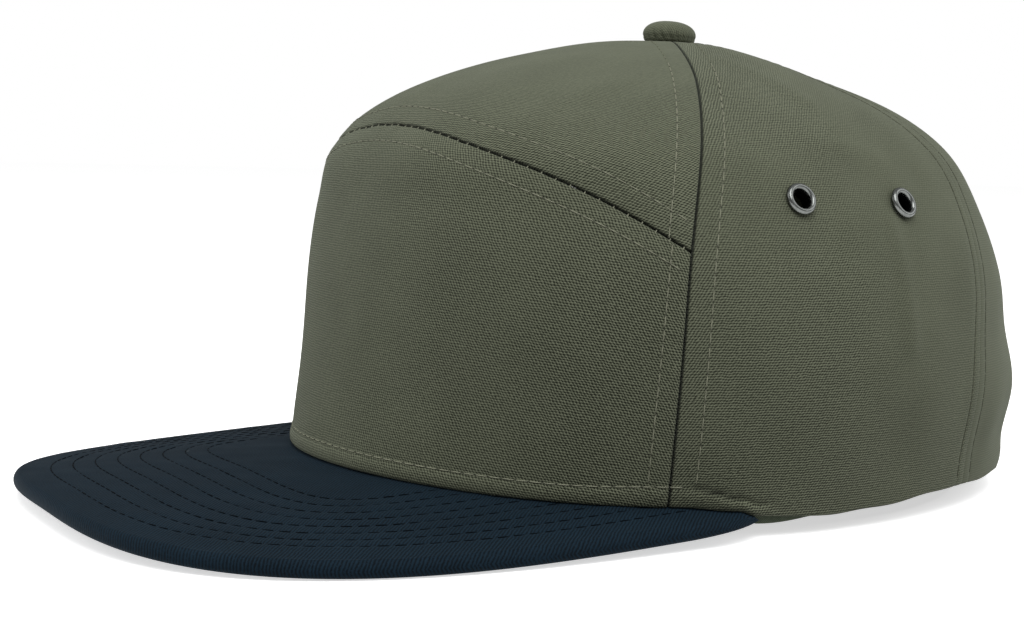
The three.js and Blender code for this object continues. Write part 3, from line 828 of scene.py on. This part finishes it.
dome_angles = np.linspace(0, np.pi / 2, 28)
dome = [(BUTTON_RADIUS * np.sin(a) ** 0.84, BUTTON_HEIGHT * (0.37 + 0.63 * np.cos(a) ** 0.96))
        for a in dome_angles]
side_heights = np.linspace(0.36, 0.22, 5)
waist = [(BUTTON_RADIUS * (1 - 0.03 * smoothstep(h, 0.37, 0.22)), BUTTON_HEIGHT * h) for h in side_heights]
tuck = [(BUTTON_RADIUS * r, BUTTON_HEIGHT * h) for r, h in ((0.965, 0.17), (0.935, 0.09), (0.88, 0.04))]
plate_top = -WALL - 0.3 * MM
under = [(SHANK_RADIUS, 0.2 * MM), (SHANK_RADIUS, plate_top), (PLATE_RADIUS, plate_top),
         (PLATE_RADIUS, plate_top - PLATE_THICKNESS), (0, plate_top - PLATE_THICKNESS)]
button_profile = [*dome, *waist, *tuck, *under]
grid, angle = turned_grid(button_profile, BUTTON_SEGMENTS)
run = run_lengths(np.array(button_profile))
button_cloth = np.stack([run * np.cos(angle), run * np.sin(angle)], axis=-1)
gather_share = smoothstep(grid[..., 2], *GATHER_HEIGHTS) * (grid[..., 2] > 0.3 * MM)
pleats = np.maximum(np.cos(23 * angle + 1.6 * np.sin(3 * angle) + 1.2 * grid[..., 2] / MM), 0) ** 2
from_gathers = np.abs((np.degrees(angle) - GATHERS_AT + 180) % 360 - 180)
gather_depth = GATHER_LEAST + GATHER_DEPTH * np.exp(-(from_gathers / GATHER_SPREAD) ** 2)
shrink = 1 - gather_depth * gather_share * pleats
grid[..., 0] *= shrink
grid[..., 1] *= shrink
lean = Matrix.Rotation(np.radians(BUTTON_TILT), 3, camera.matrix_world.to_3x3().col[2])
grid = grid @ np.array(lean) + np.array([0, APEX_SETBACK, CROWN_HEIGHT - BUTTON_SINK])
button_look = np.broadcast_to([0.7, 0.6, 0.0], (grid.shape[0] * grid.shape[1], 3))
button = grid_piece("top_button_cover", grid, button_cloth, upper_twill, False, button_look)
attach(button, "root")
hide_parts("top_button")

# Eyelets: two rolled nickel rings in each side panel, pressed through a punched hole.
# Each has a rolled face outside, a barrel through the cloth and a flat washer inside.

EYELETS = {"front": (81.2, 78.6 * MM), "rear": (105.7, 77.8 * MM)}
HOLE_RADIUS = 2.4 * MM
BARREL_RADIUS = 2.8 * MM
RING_RADIUS = 4.1 * MM
RING_PROUD = 1.3 * MM
RING_SEAT = 0.35 * MM
WASHER_RADIUS = 3.9 * MM
WASHER_THICKNESS = 0.5 * MM
EDGE_ROUND = 0.1 * MM
BARREL_TOP = RING_SEAT + 0.3 * MM
DRILL_RADIUS = BARREL_RADIUS + 0.25 * MM
DRILL_REACH = 6 * MM
DRILL_SEGMENTS = 40
RING_SEGMENTS = 72
NICKEL_DARK = (0.075, 0.08, 0.077)
NICKEL_LIGHT = (0.23, 0.24, 0.23)
# Painted shade inside the eyelet's barrel.
BARREL_PAINTED_SHADE = (0.004, 0.004, 0.004)


def worn_nickel_painted_barrel_shade():
    """Bright outside, with painted shade making the barrel dark inside: the cloth layer's first number says
    which.
    """
    material, tree, shader = new_material("worn_nickel_painted_barrel_shade")
    place = add_node(tree, "ShaderNodeTexCoord").outputs["Object"]
    smudge = noise(tree, place, 900.0, 4.0)
    inside = split(tree, cloth_uv(tree))[0]
    metal = blend_colour(tree, smudge, NICKEL_DARK, NICKEL_LIGHT)
    # Painted shade: the barrel's inside is coloured near black.
    tree.links.new(blend_colour(tree, inside, metal, BARREL_PAINTED_SHADE), shader.inputs["Base Color"])
    polish = maths(tree, "MULTIPLY_ADD", smudge, 0.25, 0.1)
    tree.links.new(maths(tree, "MULTIPLY_ADD", inside, 0.5, polish), shader.inputs["Roughness"])
    add_relief(tree, shader, noise(tree, place, 4000.0, 2.0), 0.01 * MM)
    shader.inputs["Metallic"].default_value = 1.0
    return material


nickel = worn_nickel_painted_barrel_shade()
roll_middle = (HOLE_RADIUS + RING_RADIUS) / 2
roll_half = (RING_RADIUS - HOLE_RADIUS) / 2
roll = [(roll_middle - roll_half * np.cos(a), RING_SEAT + 0.25 * MM + (RING_PROUD - 0.25 * MM) * np.sin(a))
        for a in np.linspace(0, np.pi, 22)]
washer_top = -WALL - RING_SEAT
ring_profile = [
    *roll,
    (RING_RADIUS - EDGE_ROUND, RING_SEAT + 0.08 * MM),
    (RING_RADIUS - 0.3 * MM, RING_SEAT),
    (BARREL_RADIUS, RING_SEAT),
    (BARREL_RADIUS, washer_top),
    (WASHER_RADIUS - EDGE_ROUND, washer_top),
    (WASHER_RADIUS, washer_top - EDGE_ROUND),
    (WASHER_RADIUS, washer_top - WASHER_THICKNESS + EDGE_ROUND),
    (WASHER_RADIUS - EDGE_ROUND, washer_top - WASHER_THICKNESS),
    (HOLE_RADIUS + EDGE_ROUND, washer_top - WASHER_THICKNESS),
    (HOLE_RADIUS, washer_top - WASHER_THICKNESS + EDGE_ROUND),
    (HOLE_RADIUS, RING_SEAT),
]
in_barrel = [radius <= HOLE_RADIUS + EDGE_ROUND and height < BARREL_TOP for radius, height in ring_profile]
drill_profile = [(0, DRILL_REACH), (DRILL_RADIUS, DRILL_REACH),
                 (DRILL_RADIUS, -DRILL_REACH), (0, -DRILL_REACH)]


def punch(panel, place, turn):
    """Drills an eyelet's hole through a panel."""
    grid, angle = turned_grid(drill_profile, DRILL_SEGMENTS)
    drill = grid_piece("drill", grid @ turn.T + place, np.zeros((*grid.shape[:2], 2)), side_twill, False)
    cut = panel.modifiers.new("punched_hole", "BOOLEAN")
    cut.operation = "DIFFERENCE"
    cut.solver = "EXACT"
    cut.object = drill
    punched = bpy.data.meshes.new_from_object(panel.evaluated_get(bpy.context.evaluated_depsgraph_get()))
    panel.modifiers.remove(cut)
    plain, drill_mesh = panel.data, drill.data
    panel.data = punched
    bpy.data.meshes.remove(plain)
    bpy.data.objects.remove(drill)
    bpy.data.meshes.remove(drill_mesh)


for side_name, side in (("left", 1), ("right", -1)):
    for row_name, (row_azimuth, row_height) in EYELETS.items():
        azimuth, level = np.array(side * row_azimuth), level_at(row_height)
        seat = crown_point(azimuth, level)
        turn = np.array(Vector(crown_normal(azimuth, level)).to_track_quat("Z", "Y").to_matrix())
        grid, angle = turned_grid(ring_profile, RING_SEGMENTS)
        ring_cloth = np.stack(np.broadcast_arrays(in_barrel, np.zeros(grid.shape[:2])), axis=-1)
        ring_name = f"eyelet_{row_name}_{side_name}_ring"
        ring = grid_piece(ring_name, grid @ turn.T + seat, ring_cloth, nickel, True)
        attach(ring, "root")
        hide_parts(f"eyelet_{row_name}_{side_name}")
        punch(panels["side_" + side_name]["piece"], seat, turn)

# Bill: a stiff board covered in navy twill, quilted by eight rows of stitching that follow its edge.
# The cloth wraps round the rounded edge; the root is tucked under the crown's front.

BILL_THICKNESS = 4.0 * MM
BILL_HALF_WIDTH = 88.0 * MM
BILL_REACH = 163.0 * MM
BILL_SHOULDER_Y = -35.8 * MM
BILL_SIDE_SQUARE = 2.9
BILL_FRONT_SQUARE = 3.05
BILL_TUCK = 5.0 * MM
BILL_TAIL_STAND = 1.0 * MM
BILL_TAIL_SHARE = 0.14
BILL_ROUND = 1.8 * MM
TAIL_LIFT = 0.85 * MM
TAIL_LIFT_FROM = 64
EDGE_THINS = dict(by=0.8, shares=(0.86, 0.98))
BILL_ROWS = 8
ROW_HALF_WIDTH = (79.3 * MM, -5.26 * MM)
ROW_REACH = (154.3 * MM, -5.86 * MM)
ROW_CENTRE_Y = (-35.8 * MM, -7.03 * MM)
ROW_SQUARE = (3.0, 0.18)
ROW_POINTS = 800
ROW_TAIL = 12 * MM
ROW_GROOVE = 0.1 * MM
ROW_GROOVE_WIDTH = 0.7 * MM
ROOT_GAP = 0.3 * MM
TAIL_BEND = 0.55
BILL_COLUMNS = 261
BILL_SLACK = 0.05 * MM
BILL_SLACK_SIZE = 14 * MM

tail_azimuth = np.array(BILL_TAIL_AZIMUTH)
tail_wall = wall_point(tail_azimuth, rim_level(tail_azimuth, stand=ROOT_GAP), -BILL_TAIL_STAND)


def bill_outline(share):
    """The bill's edge on plan: a rounded front from shoulder to shoulder, then a curved tail to the crown."""
    around = np.clip(np.abs(share) / (1 - BILL_TAIL_SHARE), 0, 1) * np.pi / 2
    x = BILL_HALF_WIDTH * np.sin(around) ** (2 / BILL_SIDE_SQUARE)
    y = BILL_SHOULDER_Y - (BILL_REACH + BILL_SHOULDER_Y) * np.cos(around) ** (2 / BILL_FRONT_SQUARE)
    t = np.clip((np.abs(share) - (1 - BILL_TAIL_SHARE)) / BILL_TAIL_SHARE, 0, 1)
    bend_y = BILL_SHOULDER_Y + (tail_wall[1] - BILL_SHOULDER_Y) * TAIL_BEND
    tail_x = (1 - t) ** 2 * BILL_HALF_WIDTH + 2 * t * (1 - t) * BILL_HALF_WIDTH + t * t * tail_wall[0]
    tail_y = (1 - t) ** 2 * BILL_SHOULDER_Y + 2 * t * (1 - t) * bend_y + t * t * tail_wall[1]
    is_tail = t > 0
    return np.where(is_tail, tail_x, x) * np.sign(share), np.where(is_tail, tail_y, y)


# Evenly spaced columns round the outline, by its length
fine_share = np.linspace(-1, 1, 4001)
outline = np.stack(bill_outline(fine_share), axis=-1)
outline_run = run_lengths(outline)
bill_share = np.interp(np.linspace(0, outline_run[-1], BILL_COLUMNS), outline_run, fine_share)
rim_x, rim_y = bill_outline(bill_share)
rim_points = np.stack([rim_x, rim_y], axis=-1)
root_azimuth = BILL_TAIL_AZIMUTH * bill_share
root = wall_point(root_azimuth, rim_level(root_azimuth, stand=ROOT_GAP), BILL_TUCK)[:, :2]
inwards = root - rim_points
inwards /= np.linalg.norm(inwards, axis=1, keepdims=True)
along_rim = np.gradient(rim_points, axis=0)
outwards = np.stack([along_rim[:, 1], -along_rim[:, 0]], axis=1)
outwards /= np.linalg.norm(outwards, axis=1, keepdims=True)


def bill_bottom(x, y):
    """The underside comes up at the tails, so that each ends in a thin tip."""
    around = azimuth_of(np.abs(x), y)
    lift = TAIL_LIFT * smoothstep(around, TAIL_LIFT_FROM, BILL_TAIL_AZIMUTH)
    return bill_plane(x, y) - BILL_THICKNESS + lift


def bill_row(index):
    """One stitch row on the bill's plan, from the right tail to the left."""
    half = ROW_HALF_WIDTH[0] + ROW_HALF_WIDTH[1] * index
    reach = ROW_REACH[0] + ROW_REACH[1] * index
    centre_y = ROW_CENTRE_Y[0] + ROW_CENTRE_Y[1] * index
    square = ROW_SQUARE[0] + ROW_SQUARE[1] * index
    around = np.linspace(0, np.pi / 2, 400)
    x = half * np.sin(around) ** (2 / square)
    y = centre_y - (reach + centre_y) * np.cos(around) ** (2 / square)
    x = np.append(x, half)
    y = np.append(y, centre_y + ROW_TAIL)
    return np.stack([np.concatenate([-x[::-1], x[1:]]), np.concatenate([y[::-1], y[1:]])], axis=1)


def at_lengths(wanted, run, values):
    """The values at the wanted places of a line, whose own points lie at the lengths in run."""
    return np.stack([np.interp(wanted, run, values[:, i]) for i in range(values.shape[1])], axis=-1)


row_finder = KDTree(BILL_ROWS * ROW_POINTS)
for index in range(BILL_ROWS):
    row = bill_row(index)
    row_run = run_lengths(row)
    for x, y in at_lengths(np.linspace(0, row_run[-1], ROW_POINTS), row_run, row):
        row_finder.insert((x, y, 0), index)
row_finder.balance()

body_steps = np.linspace(0, 1, 120)
edge_steps = np.linspace(0, 1, 15)[1:]
edge_round = BILL_ROUND * (1 - EDGE_THINS["by"] * smoothstep(np.abs(bill_share), *EDGE_THINS["shares"]))
body_end = rim_points - outwards * edge_round[:, None]
plan = root[:, None] + (body_end - root)[:, None] * body_steps[None, :, None]
row_distance = np.array([row_finder.find((x, y, 0))[2] for x, y in plan.reshape(-1, 2)])
groove = ROW_GROOVE * np.exp(-(row_distance.reshape(plan.shape[:2]) / ROW_GROOVE_WIDTH) ** 2)
slack = BILL_SLACK * soft_noise(plan[..., 0], plan[..., 1], BILL_SLACK_SIZE, seed=5)
top_face = np.dstack([plan, bill_top(plan[..., 0], plan[..., 1]) - groove + slack])
bottom_face = np.dstack([plan, bill_bottom(plan[..., 0], plan[..., 1]) + groove - slack])
roll_angle = edge_steps * np.pi / 2
edge_plan = body_end[:, None] + outwards[:, None] * (edge_round[:, None] * np.sin(roll_angle))[..., None]
edge_high = bill_top(edge_plan[..., 0], edge_plan[..., 1])
edge_low = bill_bottom(edge_plan[..., 0], edge_plan[..., 1])
drop = ((edge_high - edge_low) / 2 - 0.02 * MM) * (1 - np.cos(roll_angle))[None, :]
top_edge = np.dstack([edge_plan, edge_high - drop])
bottom_edge = np.dstack([edge_plan, edge_low + drop])
top_grid = np.concatenate([top_face, top_edge], axis=1)
bottom_grid = np.concatenate([bottom_face, bottom_edge], axis=1)
edge_cloth = body_end[:, None] + outwards[:, None] * (BILL_ROUND * roll_angle)[None, :, None]
bill_cloth = np.concatenate([plan, edge_cloth], axis=1).reshape(-1, 2)

NAVY_DARK = (0.0010, 0.0034, 0.0060)
NAVY_LIGHT = (0.0074, 0.0195, 0.0322)
LINT = (0.11, 0.13, 0.14)
RIDGE_PITCH = 0.76 * MM


def navy_twill():
    """Smooth cotton twill with slanted ridges, and a few pale specks of lint on it."""
    material, tree, shader = new_material("navy_twill")
    place = cloth_uv(tree)
    parts = split(tree, place)
    turns = maths(tree, "MULTIPLY", maths(tree, "ADD", parts[0], parts[1]), 1 / (RIDGE_PITCH * np.sqrt(2)))
    turns = maths(tree, "MULTIPLY_ADD", noise(tree, place, 500.0, 2.0), 0.8, turns)
    ridge = maths(tree, "MULTIPLY_ADD", wave(tree, turns), 0.5, 0.5)
    rough = roughen(tree, ridge, noise(tree, place, 1800.0, 2.0), 0.9)
    tone = roughen(tree, rough, noise(tree, place, 70.0, 3.0), 0.5)
    is_tuft = maths(tree, "GREATER_THAN", noise(tree, place, 3200.0, 1.0), 0.64)
    tone = maths(tree, "ADD", tone, maths(tree, "MULTIPLY", is_tuft, 0.9))
    cloth = blend_colour(tree, tone, NAVY_DARK, NAVY_LIGHT)
    speck = add_node(tree, "ShaderNodeTexVoronoi", {"Vector": place, "Scale": 90.0})
    near = maths(tree, "LESS_THAN", speck.outputs["Distance"], 0.035)
    some = maths(tree, "GREATER_THAN", split(tree, speck.outputs["Color"])[0], 0.72)
    lint = maths(tree, "MULTIPLY", maths(tree, "MULTIPLY", near, some), 0.8)
    tree.links.new(blend_colour(tree, lint, cloth, LINT), shader.inputs["Base Color"])
    add_relief(tree, shader, rough, 0.06 * MM)
    tree.links.new(maths(tree, "MULTIPLY_ADD", ridge, 0.1, 0.75), shader.inputs["Roughness"])
    shader.inputs["Specular IOR Level"].default_value = 0.09
    shader.inputs["Sheen Weight"].default_value = 0.03
    shader.inputs["Sheen Roughness"].default_value = 0.4
    shader.inputs["Sheen Tint"].default_value = (0.5, 0.7, 0.85, 1)
    return material


points, faces = shell_faces(top_grid, bottom_grid)
bill = make_piece("bill_twill", points, faces, np.concatenate([bill_cloth, bill_cloth]), navy_twill())
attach(bill, "root")
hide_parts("bill")

# Sweatband: a slim olive cotton tape sewn round inside the rim, folded double, with soft rounded edges.
# It follows the rim and stays hidden, but for its lower edge, which hangs a little lower behind the bill.

BAND_HEIGHT = 30 * MM
BAND_THICKNESS = 1.2 * MM
BAND_DEPTH = WALL + 0.6 * MM
BAND_PEEK = dict(start=77, end=94, drop=2.4 * MM)
BAND_TUCK_UP = 0.6 * MM
BAND_ROLL = 0.55 * MM
TAPE_DARK = (0.034, 0.044, 0.028)
TAPE_LIGHT = (0.150, 0.180, 0.125)
TAPE_PITCH = 0.5 * MM


def olive_tape():
    material, tree, shader = new_material("olive_tape")
    place = cloth_uv(tree)
    parts = split(tree, place)
    turns = 2 * np.pi / TAPE_PITCH
    across, up = (maths(tree, "COSINE", maths(tree, "MULTIPLY", parts[i], turns)) for i in (0, 1))
    plain_weave = maths(tree, "MULTIPLY_ADD", maths(tree, "MULTIPLY", across, up), 0.5, 0.5)
    tone = roughen(tree, plain_weave, noise(tree, place, 700.0, 2.0), 0.8)
    tree.links.new(blend_colour(tree, tone, TAPE_DARK, TAPE_LIGHT), shader.inputs["Base Color"])
    add_relief(tree, shader, tone, 0.06 * MM)
    tree.links.new(maths(tree, "MULTIPLY_ADD", plain_weave, 0.1, 0.82), shader.inputs["Roughness"])
    shader.inputs["Specular IOR Level"].default_value = 0.12
    return material


past_tail = BILL_TAIL_AZIMUTH + np.linspace(0.1, 1.1, 6)
band_azimuth = np.unique(np.concatenate([np.linspace(-180, 180, 361)[1:], past_tail, -past_tail]))
peek = 1 - smoothstep(np.abs(band_azimuth), BAND_PEEK["start"], BAND_PEEK["end"])
peek = (BAND_PEEK["drop"] + BAND_TUCK_UP) * peek
rim = height_at(rim_level(band_azimuth, BAND_DEPTH + BAND_THICKNESS, BAND_THICKNESS, ROOT_GAP))
is_behind = smoothstep(np.abs(band_azimuth), BILL_TAIL_AZIMUTH + 0.15, BILL_TAIL_AZIMUTH + 0.5)
band_low = rim + is_behind * (BAND_TUCK_UP - peek)
band_steps = np.concatenate([[0, 0.008, 0.02, 0.04], np.linspace(0.07, 0.93, 16), [0.96, 0.98, 0.992, 1]])
band_level = level_at(band_low[:, None] + BAND_HEIGHT * band_steps[None, :])
edge_distance = np.minimum(band_steps, 1 - band_steps)[None, :] * BAND_HEIGHT
rounding = edge_roll(edge_distance, BAND_ROLL)[..., None]
band_round = np.broadcast_to(band_azimuth[:, None], band_level.shape)
band_normal = crown_normal(band_round, band_level)
band_outer = wall_point(band_round, band_level, BAND_DEPTH) - band_normal * rounding
band_inner = wall_point(band_round, band_level, BAND_DEPTH + BAND_THICKNESS) + band_normal * rounding
points, faces = shell_faces(band_outer, band_inner, is_ring=True)
band_cloth = cloth_place(band_round, band_level, 0).reshape(-1, 2)
tape = olive_tape()
band = make_piece("sweatband_tape", points, faces, np.concatenate([band_cloth, band_cloth]), tape)
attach(band, "root")
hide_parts("sweatband")

# Topstitching: rows of cotton thread beside every seam, round the hem above the bill and on the bill.
# Each stitch is a short arched thread, set along its row and pulled into the cloth at both ends.

CROWN_PITCH = 3.25 * MM
CROWN_STITCH = 2.95 * MM
ARCH_TICK_PITCH = 3.7 * MM
ARCH_TICK = 1.0 * MM
ARCH_TICK_DISTANCE = 0.3 * MM
BILL_PITCH = 3.8 * MM
BILL_STITCH = 2.5 * MM
CROWN_THREAD = 0.155 * MM
BILL_THREAD = 0.18 * MM
TOP_STITCH_HEIGHT = 111.5 * MM
HEM_STITCHED_TO = 64
BUTTON_CLEARANCE = 1 * MM
RIM_CLEARANCE = 2 * MM
# Each thread's dark is the painted shade at its stitches' ends; light is the thread's own colour.
THREADS = {
    "olive_thread": dict(dark=(0.010, 0.011, 0.008), light=(0.250, 0.257, 0.184), gloss=0.25),
    "dull_olive_thread": dict(dark=(0.005, 0.006, 0.004), light=(0.088, 0.094, 0.064), gloss=0.1),
    # A lighter copy of the olive thread: painted light for the rows near the apex, standing in for the sheen
    # the cloth shows there.
    "olive_thread_painted_light": dict(dark=(0.034, 0.037, 0.025), light=(0.175, 0.185, 0.128), gloss=0.1),
    "navy_thread": dict(dark=(0.0004, 0.0008, 0.0012), light=(0.0020, 0.0036, 0.0054), gloss=0.03),
}


def stitch_tree():
    """One arched thread at every point of a row, turned by the row's two direction attributes."""
    tree = bpy.data.node_groups.new("sewn_thread", "GeometryNodeTree")
    tree.is_modifier = True
    face = tree.interface
    face.new_socket("Geometry", in_out="INPUT", socket_type="NodeSocketGeometry")
    for name in ("Stitch Length", "Thread Radius", "Arch", "Sink"):
        face.new_socket(name, in_out="INPUT", socket_type="NodeSocketFloat")
    face.new_socket("Thread", in_out="INPUT", socket_type="NodeSocketMaterial")
    face.new_socket("Geometry", in_out="OUTPUT", socket_type="NodeSocketGeometry")
    given = add_node(tree, "NodeGroupInput").outputs
    half = maths(tree, "MULTIPLY", given["Stitch Length"], 0.5)
    depth = maths(tree, "MULTIPLY", given["Sink"], -1.0)
    start = add_node(tree, "ShaderNodeCombineXYZ", {0: maths(tree, "MULTIPLY", half, -1.0), 2: depth})
    crest = add_node(tree, "ShaderNodeCombineXYZ", {2: maths(tree, "MULTIPLY", given["Arch"], 2.0)})
    end = add_node(tree, "ShaderNodeCombineXYZ", {0: half, 2: depth})
    bend = {"Resolution": 7, "Start": start.outputs[0], "Middle": crest.outputs[0], "End": end.outputs[0]}
    path = add_node(tree, "GeometryNodeCurveQuadraticBezier", bend)
    share = add_node(tree, "GeometryNodeSplineParameter").outputs["Factor"]
    mark = {"Geometry": path.outputs[0], "Name": "thread_share", "Value": share}
    marked = add_node(tree, "GeometryNodeStoreNamedAttribute", mark)
    section = {"Resolution": 6, "Radius": given["Thread Radius"]}
    ply = add_node(tree, "GeometryNodeCurvePrimitiveCircle", section)
    thread = add_node(tree, "GeometryNodeCurveToMesh",
                      {"Curve": marked.outputs[0], "Profile Curve": ply.outputs[0], "Fill Caps": True})
    out = add_node(tree, "GeometryNodeInputNamedAttribute", {"Name": "out"}, data_type="FLOAT_VECTOR")
    along = add_node(tree, "GeometryNodeInputNamedAttribute", {"Name": "along"}, data_type="FLOAT_VECTOR")
    turned = add_node(tree, "FunctionNodeAxesToRotation", {0: out.outputs[0], 1: along.outputs[0]})
    uneven = add_node(tree, "FunctionNodeRandomValue", {2: 0.93, 3: 1.05, "Seed": 11})
    placed = add_node(tree, "GeometryNodeInstanceOnPoints", {
        "Points": given["Geometry"], "Instance": thread.outputs[0],
        "Rotation": turned.outputs[0], "Scale": uneven.outputs[1]})
    real = add_node(tree, "GeometryNodeRealizeInstances", {"Geometry": placed.outputs[0]})
    smooth = add_node(tree, "GeometryNodeSetShadeSmooth", {"Geometry": real.outputs[0]})
    finish = {"Geometry": smooth.outputs[0], "Material": given["Thread"]}
    done = add_node(tree, "GeometryNodeSetMaterial", finish)
    add_node(tree, "NodeGroupOutput", {"Geometry": done.outputs[0]})
    return tree


sewn_thread = stitch_tree()


def spun_thread(name, dark, light, gloss):
    """Cotton thread, with painted shade darkening it where each stitch goes down into the cloth."""
    material, tree, shader = new_material(name)
    place = add_node(tree, "ShaderNodeTexCoord").outputs["Object"]
    fibre = noise(tree, place, 3500.0, 2.0)
    share = add_node(tree, "ShaderNodeAttribute", attribute_name="thread_share").outputs["Fac"]
    ends = maths(tree, "MULTIPLY", maths(tree, "ABSOLUTE", maths(tree, "SUBTRACT", share, 0.5)), 2.0)
    # Painted shade towards both ends of each stitch.
    shade = maths(tree, "SUBTRACT", 1.0, maths(tree, "POWER", ends, 5.0))
    tone = maths(tree, "MULTIPLY", shade, maths(tree, "MULTIPLY_ADD", fibre, 0.8, 0.45))
    tree.links.new(blend_colour(tree, tone, dark, light), shader.inputs["Base Color"])
    add_relief(tree, shader, fibre, 0.03 * MM)
    shader.inputs["Roughness"].default_value = 0.7
    shader.inputs["Specular IOR Level"].default_value = gloss
    return material


threads = {name: spun_thread(name, **look) for name, look in THREADS.items()}


def sew(name, rows, thread, sink, arch, length=CROWN_STITCH, radius=CROWN_THREAD):
    """rows is a list of (places, along, out) arrays, one for each run of stitches."""
    places, along, out = (np.concatenate([row[i] for row in rows]) for i in range(3))
    mesh = bpy.data.meshes.new(name)
    mesh.from_pydata((places + CENTRE).tolist(), [], [])
    for label, values in (("along", along), ("out", out)):
        layer = mesh.attributes.new(label, "FLOAT_VECTOR", "POINT")
        layer.data.foreach_set("vector", values.astype(np.float32).ravel())
    piece = bpy.data.objects.new(name, mesh)
    bpy.context.scene.collection.objects.link(piece)
    sewing = piece.modifiers.new("sewing", "NODES")
    sewing.node_group = sewn_thread
    values = {"Stitch Length": length, "Thread Radius": radius, "Arch": arch, "Sink": sink}
    values["Thread"] = threads[thread]
    for item in sewn_thread.interface.items_tree:
        if item.item_type == "SOCKET" and item.in_out == "INPUT" and item.name in values:
            sewing[item.identifier] = values[item.name]
    made = bpy.data.meshes.new_from_object(piece.evaluated_get(bpy.context.evaluated_depsgraph_get()))
    piece.modifiers.remove(sewing)
    piece.data = made
    bpy.data.meshes.remove(mesh)
    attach(piece, "root")
    return piece


def run_of_stitches(line, normals, pitch):
    """Evenly spaced stitches on a line: their places, their directions and the way out of the cloth."""
    run = run_lengths(line)
    middles = (np.arange(int(run[-1] / pitch)) + 0.5) * pitch
    half = pitch * 0.3
    along = at_lengths(middles + half, run, line) - at_lengths(middles - half, run, line)
    return at_lengths(middles, run, line), along, at_lengths(middles, run, normals)


def seam_line(panel, edge, distance):
    """The line on a panel's face at a distance from one of its edges, given once or for each point."""
    reach, points, normals = panel["reach"][edge], panel["points"], panel["normals"]
    is_side = edge in ("start", "end")
    count = points.shape[1] if is_side else points.shape[0]
    line, out = [], []
    for i, wanted in enumerate(np.broadcast_to(distance, count)):
        run = reach[:, i] if is_side else reach[i]
        grid = points[:, i] if is_side else points[i]
        normal = normals[:, i] if is_side else normals[i]
        if run[0] > run[-1]:
            run, grid, normal = run[::-1], grid[::-1], normal[::-1]
        if run[-1] < 1.6 * wanted:
            continue
        line.append(at_lengths(wanted, run, grid))
        out.append(at_lengths(wanted, run, normal))
    return np.array(line), np.array(out)


def kept(run, keep):
    return tuple(values[keep] for values in run)


apex = np.array([0, APEX_SETBACK, CROWN_HEIGHT])
crown_rows = []
felled_rows = []
gathered_rows = []
for panel in panels.values():
    for edge, (distance, seam_name) in panel["stitches"].items():
        if seam_name == "hem":
            distance = hem_distance(panel["azimuth"][:, 0])
        run = run_of_stitches(*seam_line(panel, edge, distance), CROWN_PITCH)
        x, y, z = run[0].T
        around = np.abs(azimuth_of(x, y))
        if seam_name == "hem":
            crown_rows.append(kept(run, around < HEM_STITCHED_TO))
            continue
        above_rim = np.where(around < BILL_TAIL_AZIMUTH, HEM_STITCH, RIM_CLEARANCE)
        lowest = height_at(rim_level(around)) + above_rim
        is_clear = (z > lowest) & (np.linalg.norm(run[0] - apex, axis=1) > BUTTON_RADIUS + BUTTON_CLEARANCE)
        if seam_name == "felled":
            felled_rows.append(kept(run, is_clear))
            continue
        crown_rows.append(kept(run, is_clear & (z <= TOP_STITCH_HEIGHT)))
        gathered_rows.append(kept(run, is_clear & (z > TOP_STITCH_HEIGHT)))
sew("crown_topstitching", crown_rows, "olive_thread", sink=0.05 * MM, arch=0.11 * MM)
sew("felled_topstitching", felled_rows, "dull_olive_thread", sink=0.06 * MM, arch=0.07 * MM)
# The rows near the apex take the lighter thread, with its painted light.
sew("gathered_topstitching", gathered_rows, "olive_thread_painted_light",
    sink=0.07 * MM, arch=0.03 * MM)

# Short threads cross the arched seam, where it is pulled open a little
places, along, out = run_of_stitches(*seam_line(panels["front"], "top", ARCH_TICK_DISTANCE), ARCH_TICK_PITCH)
ticks = (places, np.cross(out, along), out)
sew("arch_seam_thread", [ticks], "olive_thread",
    sink=0.05 * MM, arch=0.05 * MM, length=ARCH_TICK)

bill_rows = []
for index in range(BILL_ROWS):
    row = bill_row(index)
    for face, way_out, clear_depth in ((bill_top, 1.0, -0.8 * MM), (bill_bottom, -1.0, BILL_TUCK)):
        line = np.column_stack([row, face(row[:, 0], row[:, 1]) - way_out * ROW_GROOVE])
        run = run_of_stitches(line, np.broadcast_to([0, 0, way_out], line.shape), BILL_PITCH)
        around = azimuth_of(run[0][:, 0], run[0][:, 1])
        wall = wall_point(around, rim_level(around), clear_depth)
        is_clear = np.linalg.norm(run[0][:, :2], axis=1) > np.linalg.norm(wall[:, :2], axis=1)
        bill_rows.append(kept(run, is_clear))
sew("bill_stitching", bill_rows, "navy_thread",
    sink=0.06 * MM, arch=0.03 * MM, length=BILL_STITCH, radius=BILL_THREAD)

low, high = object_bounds()
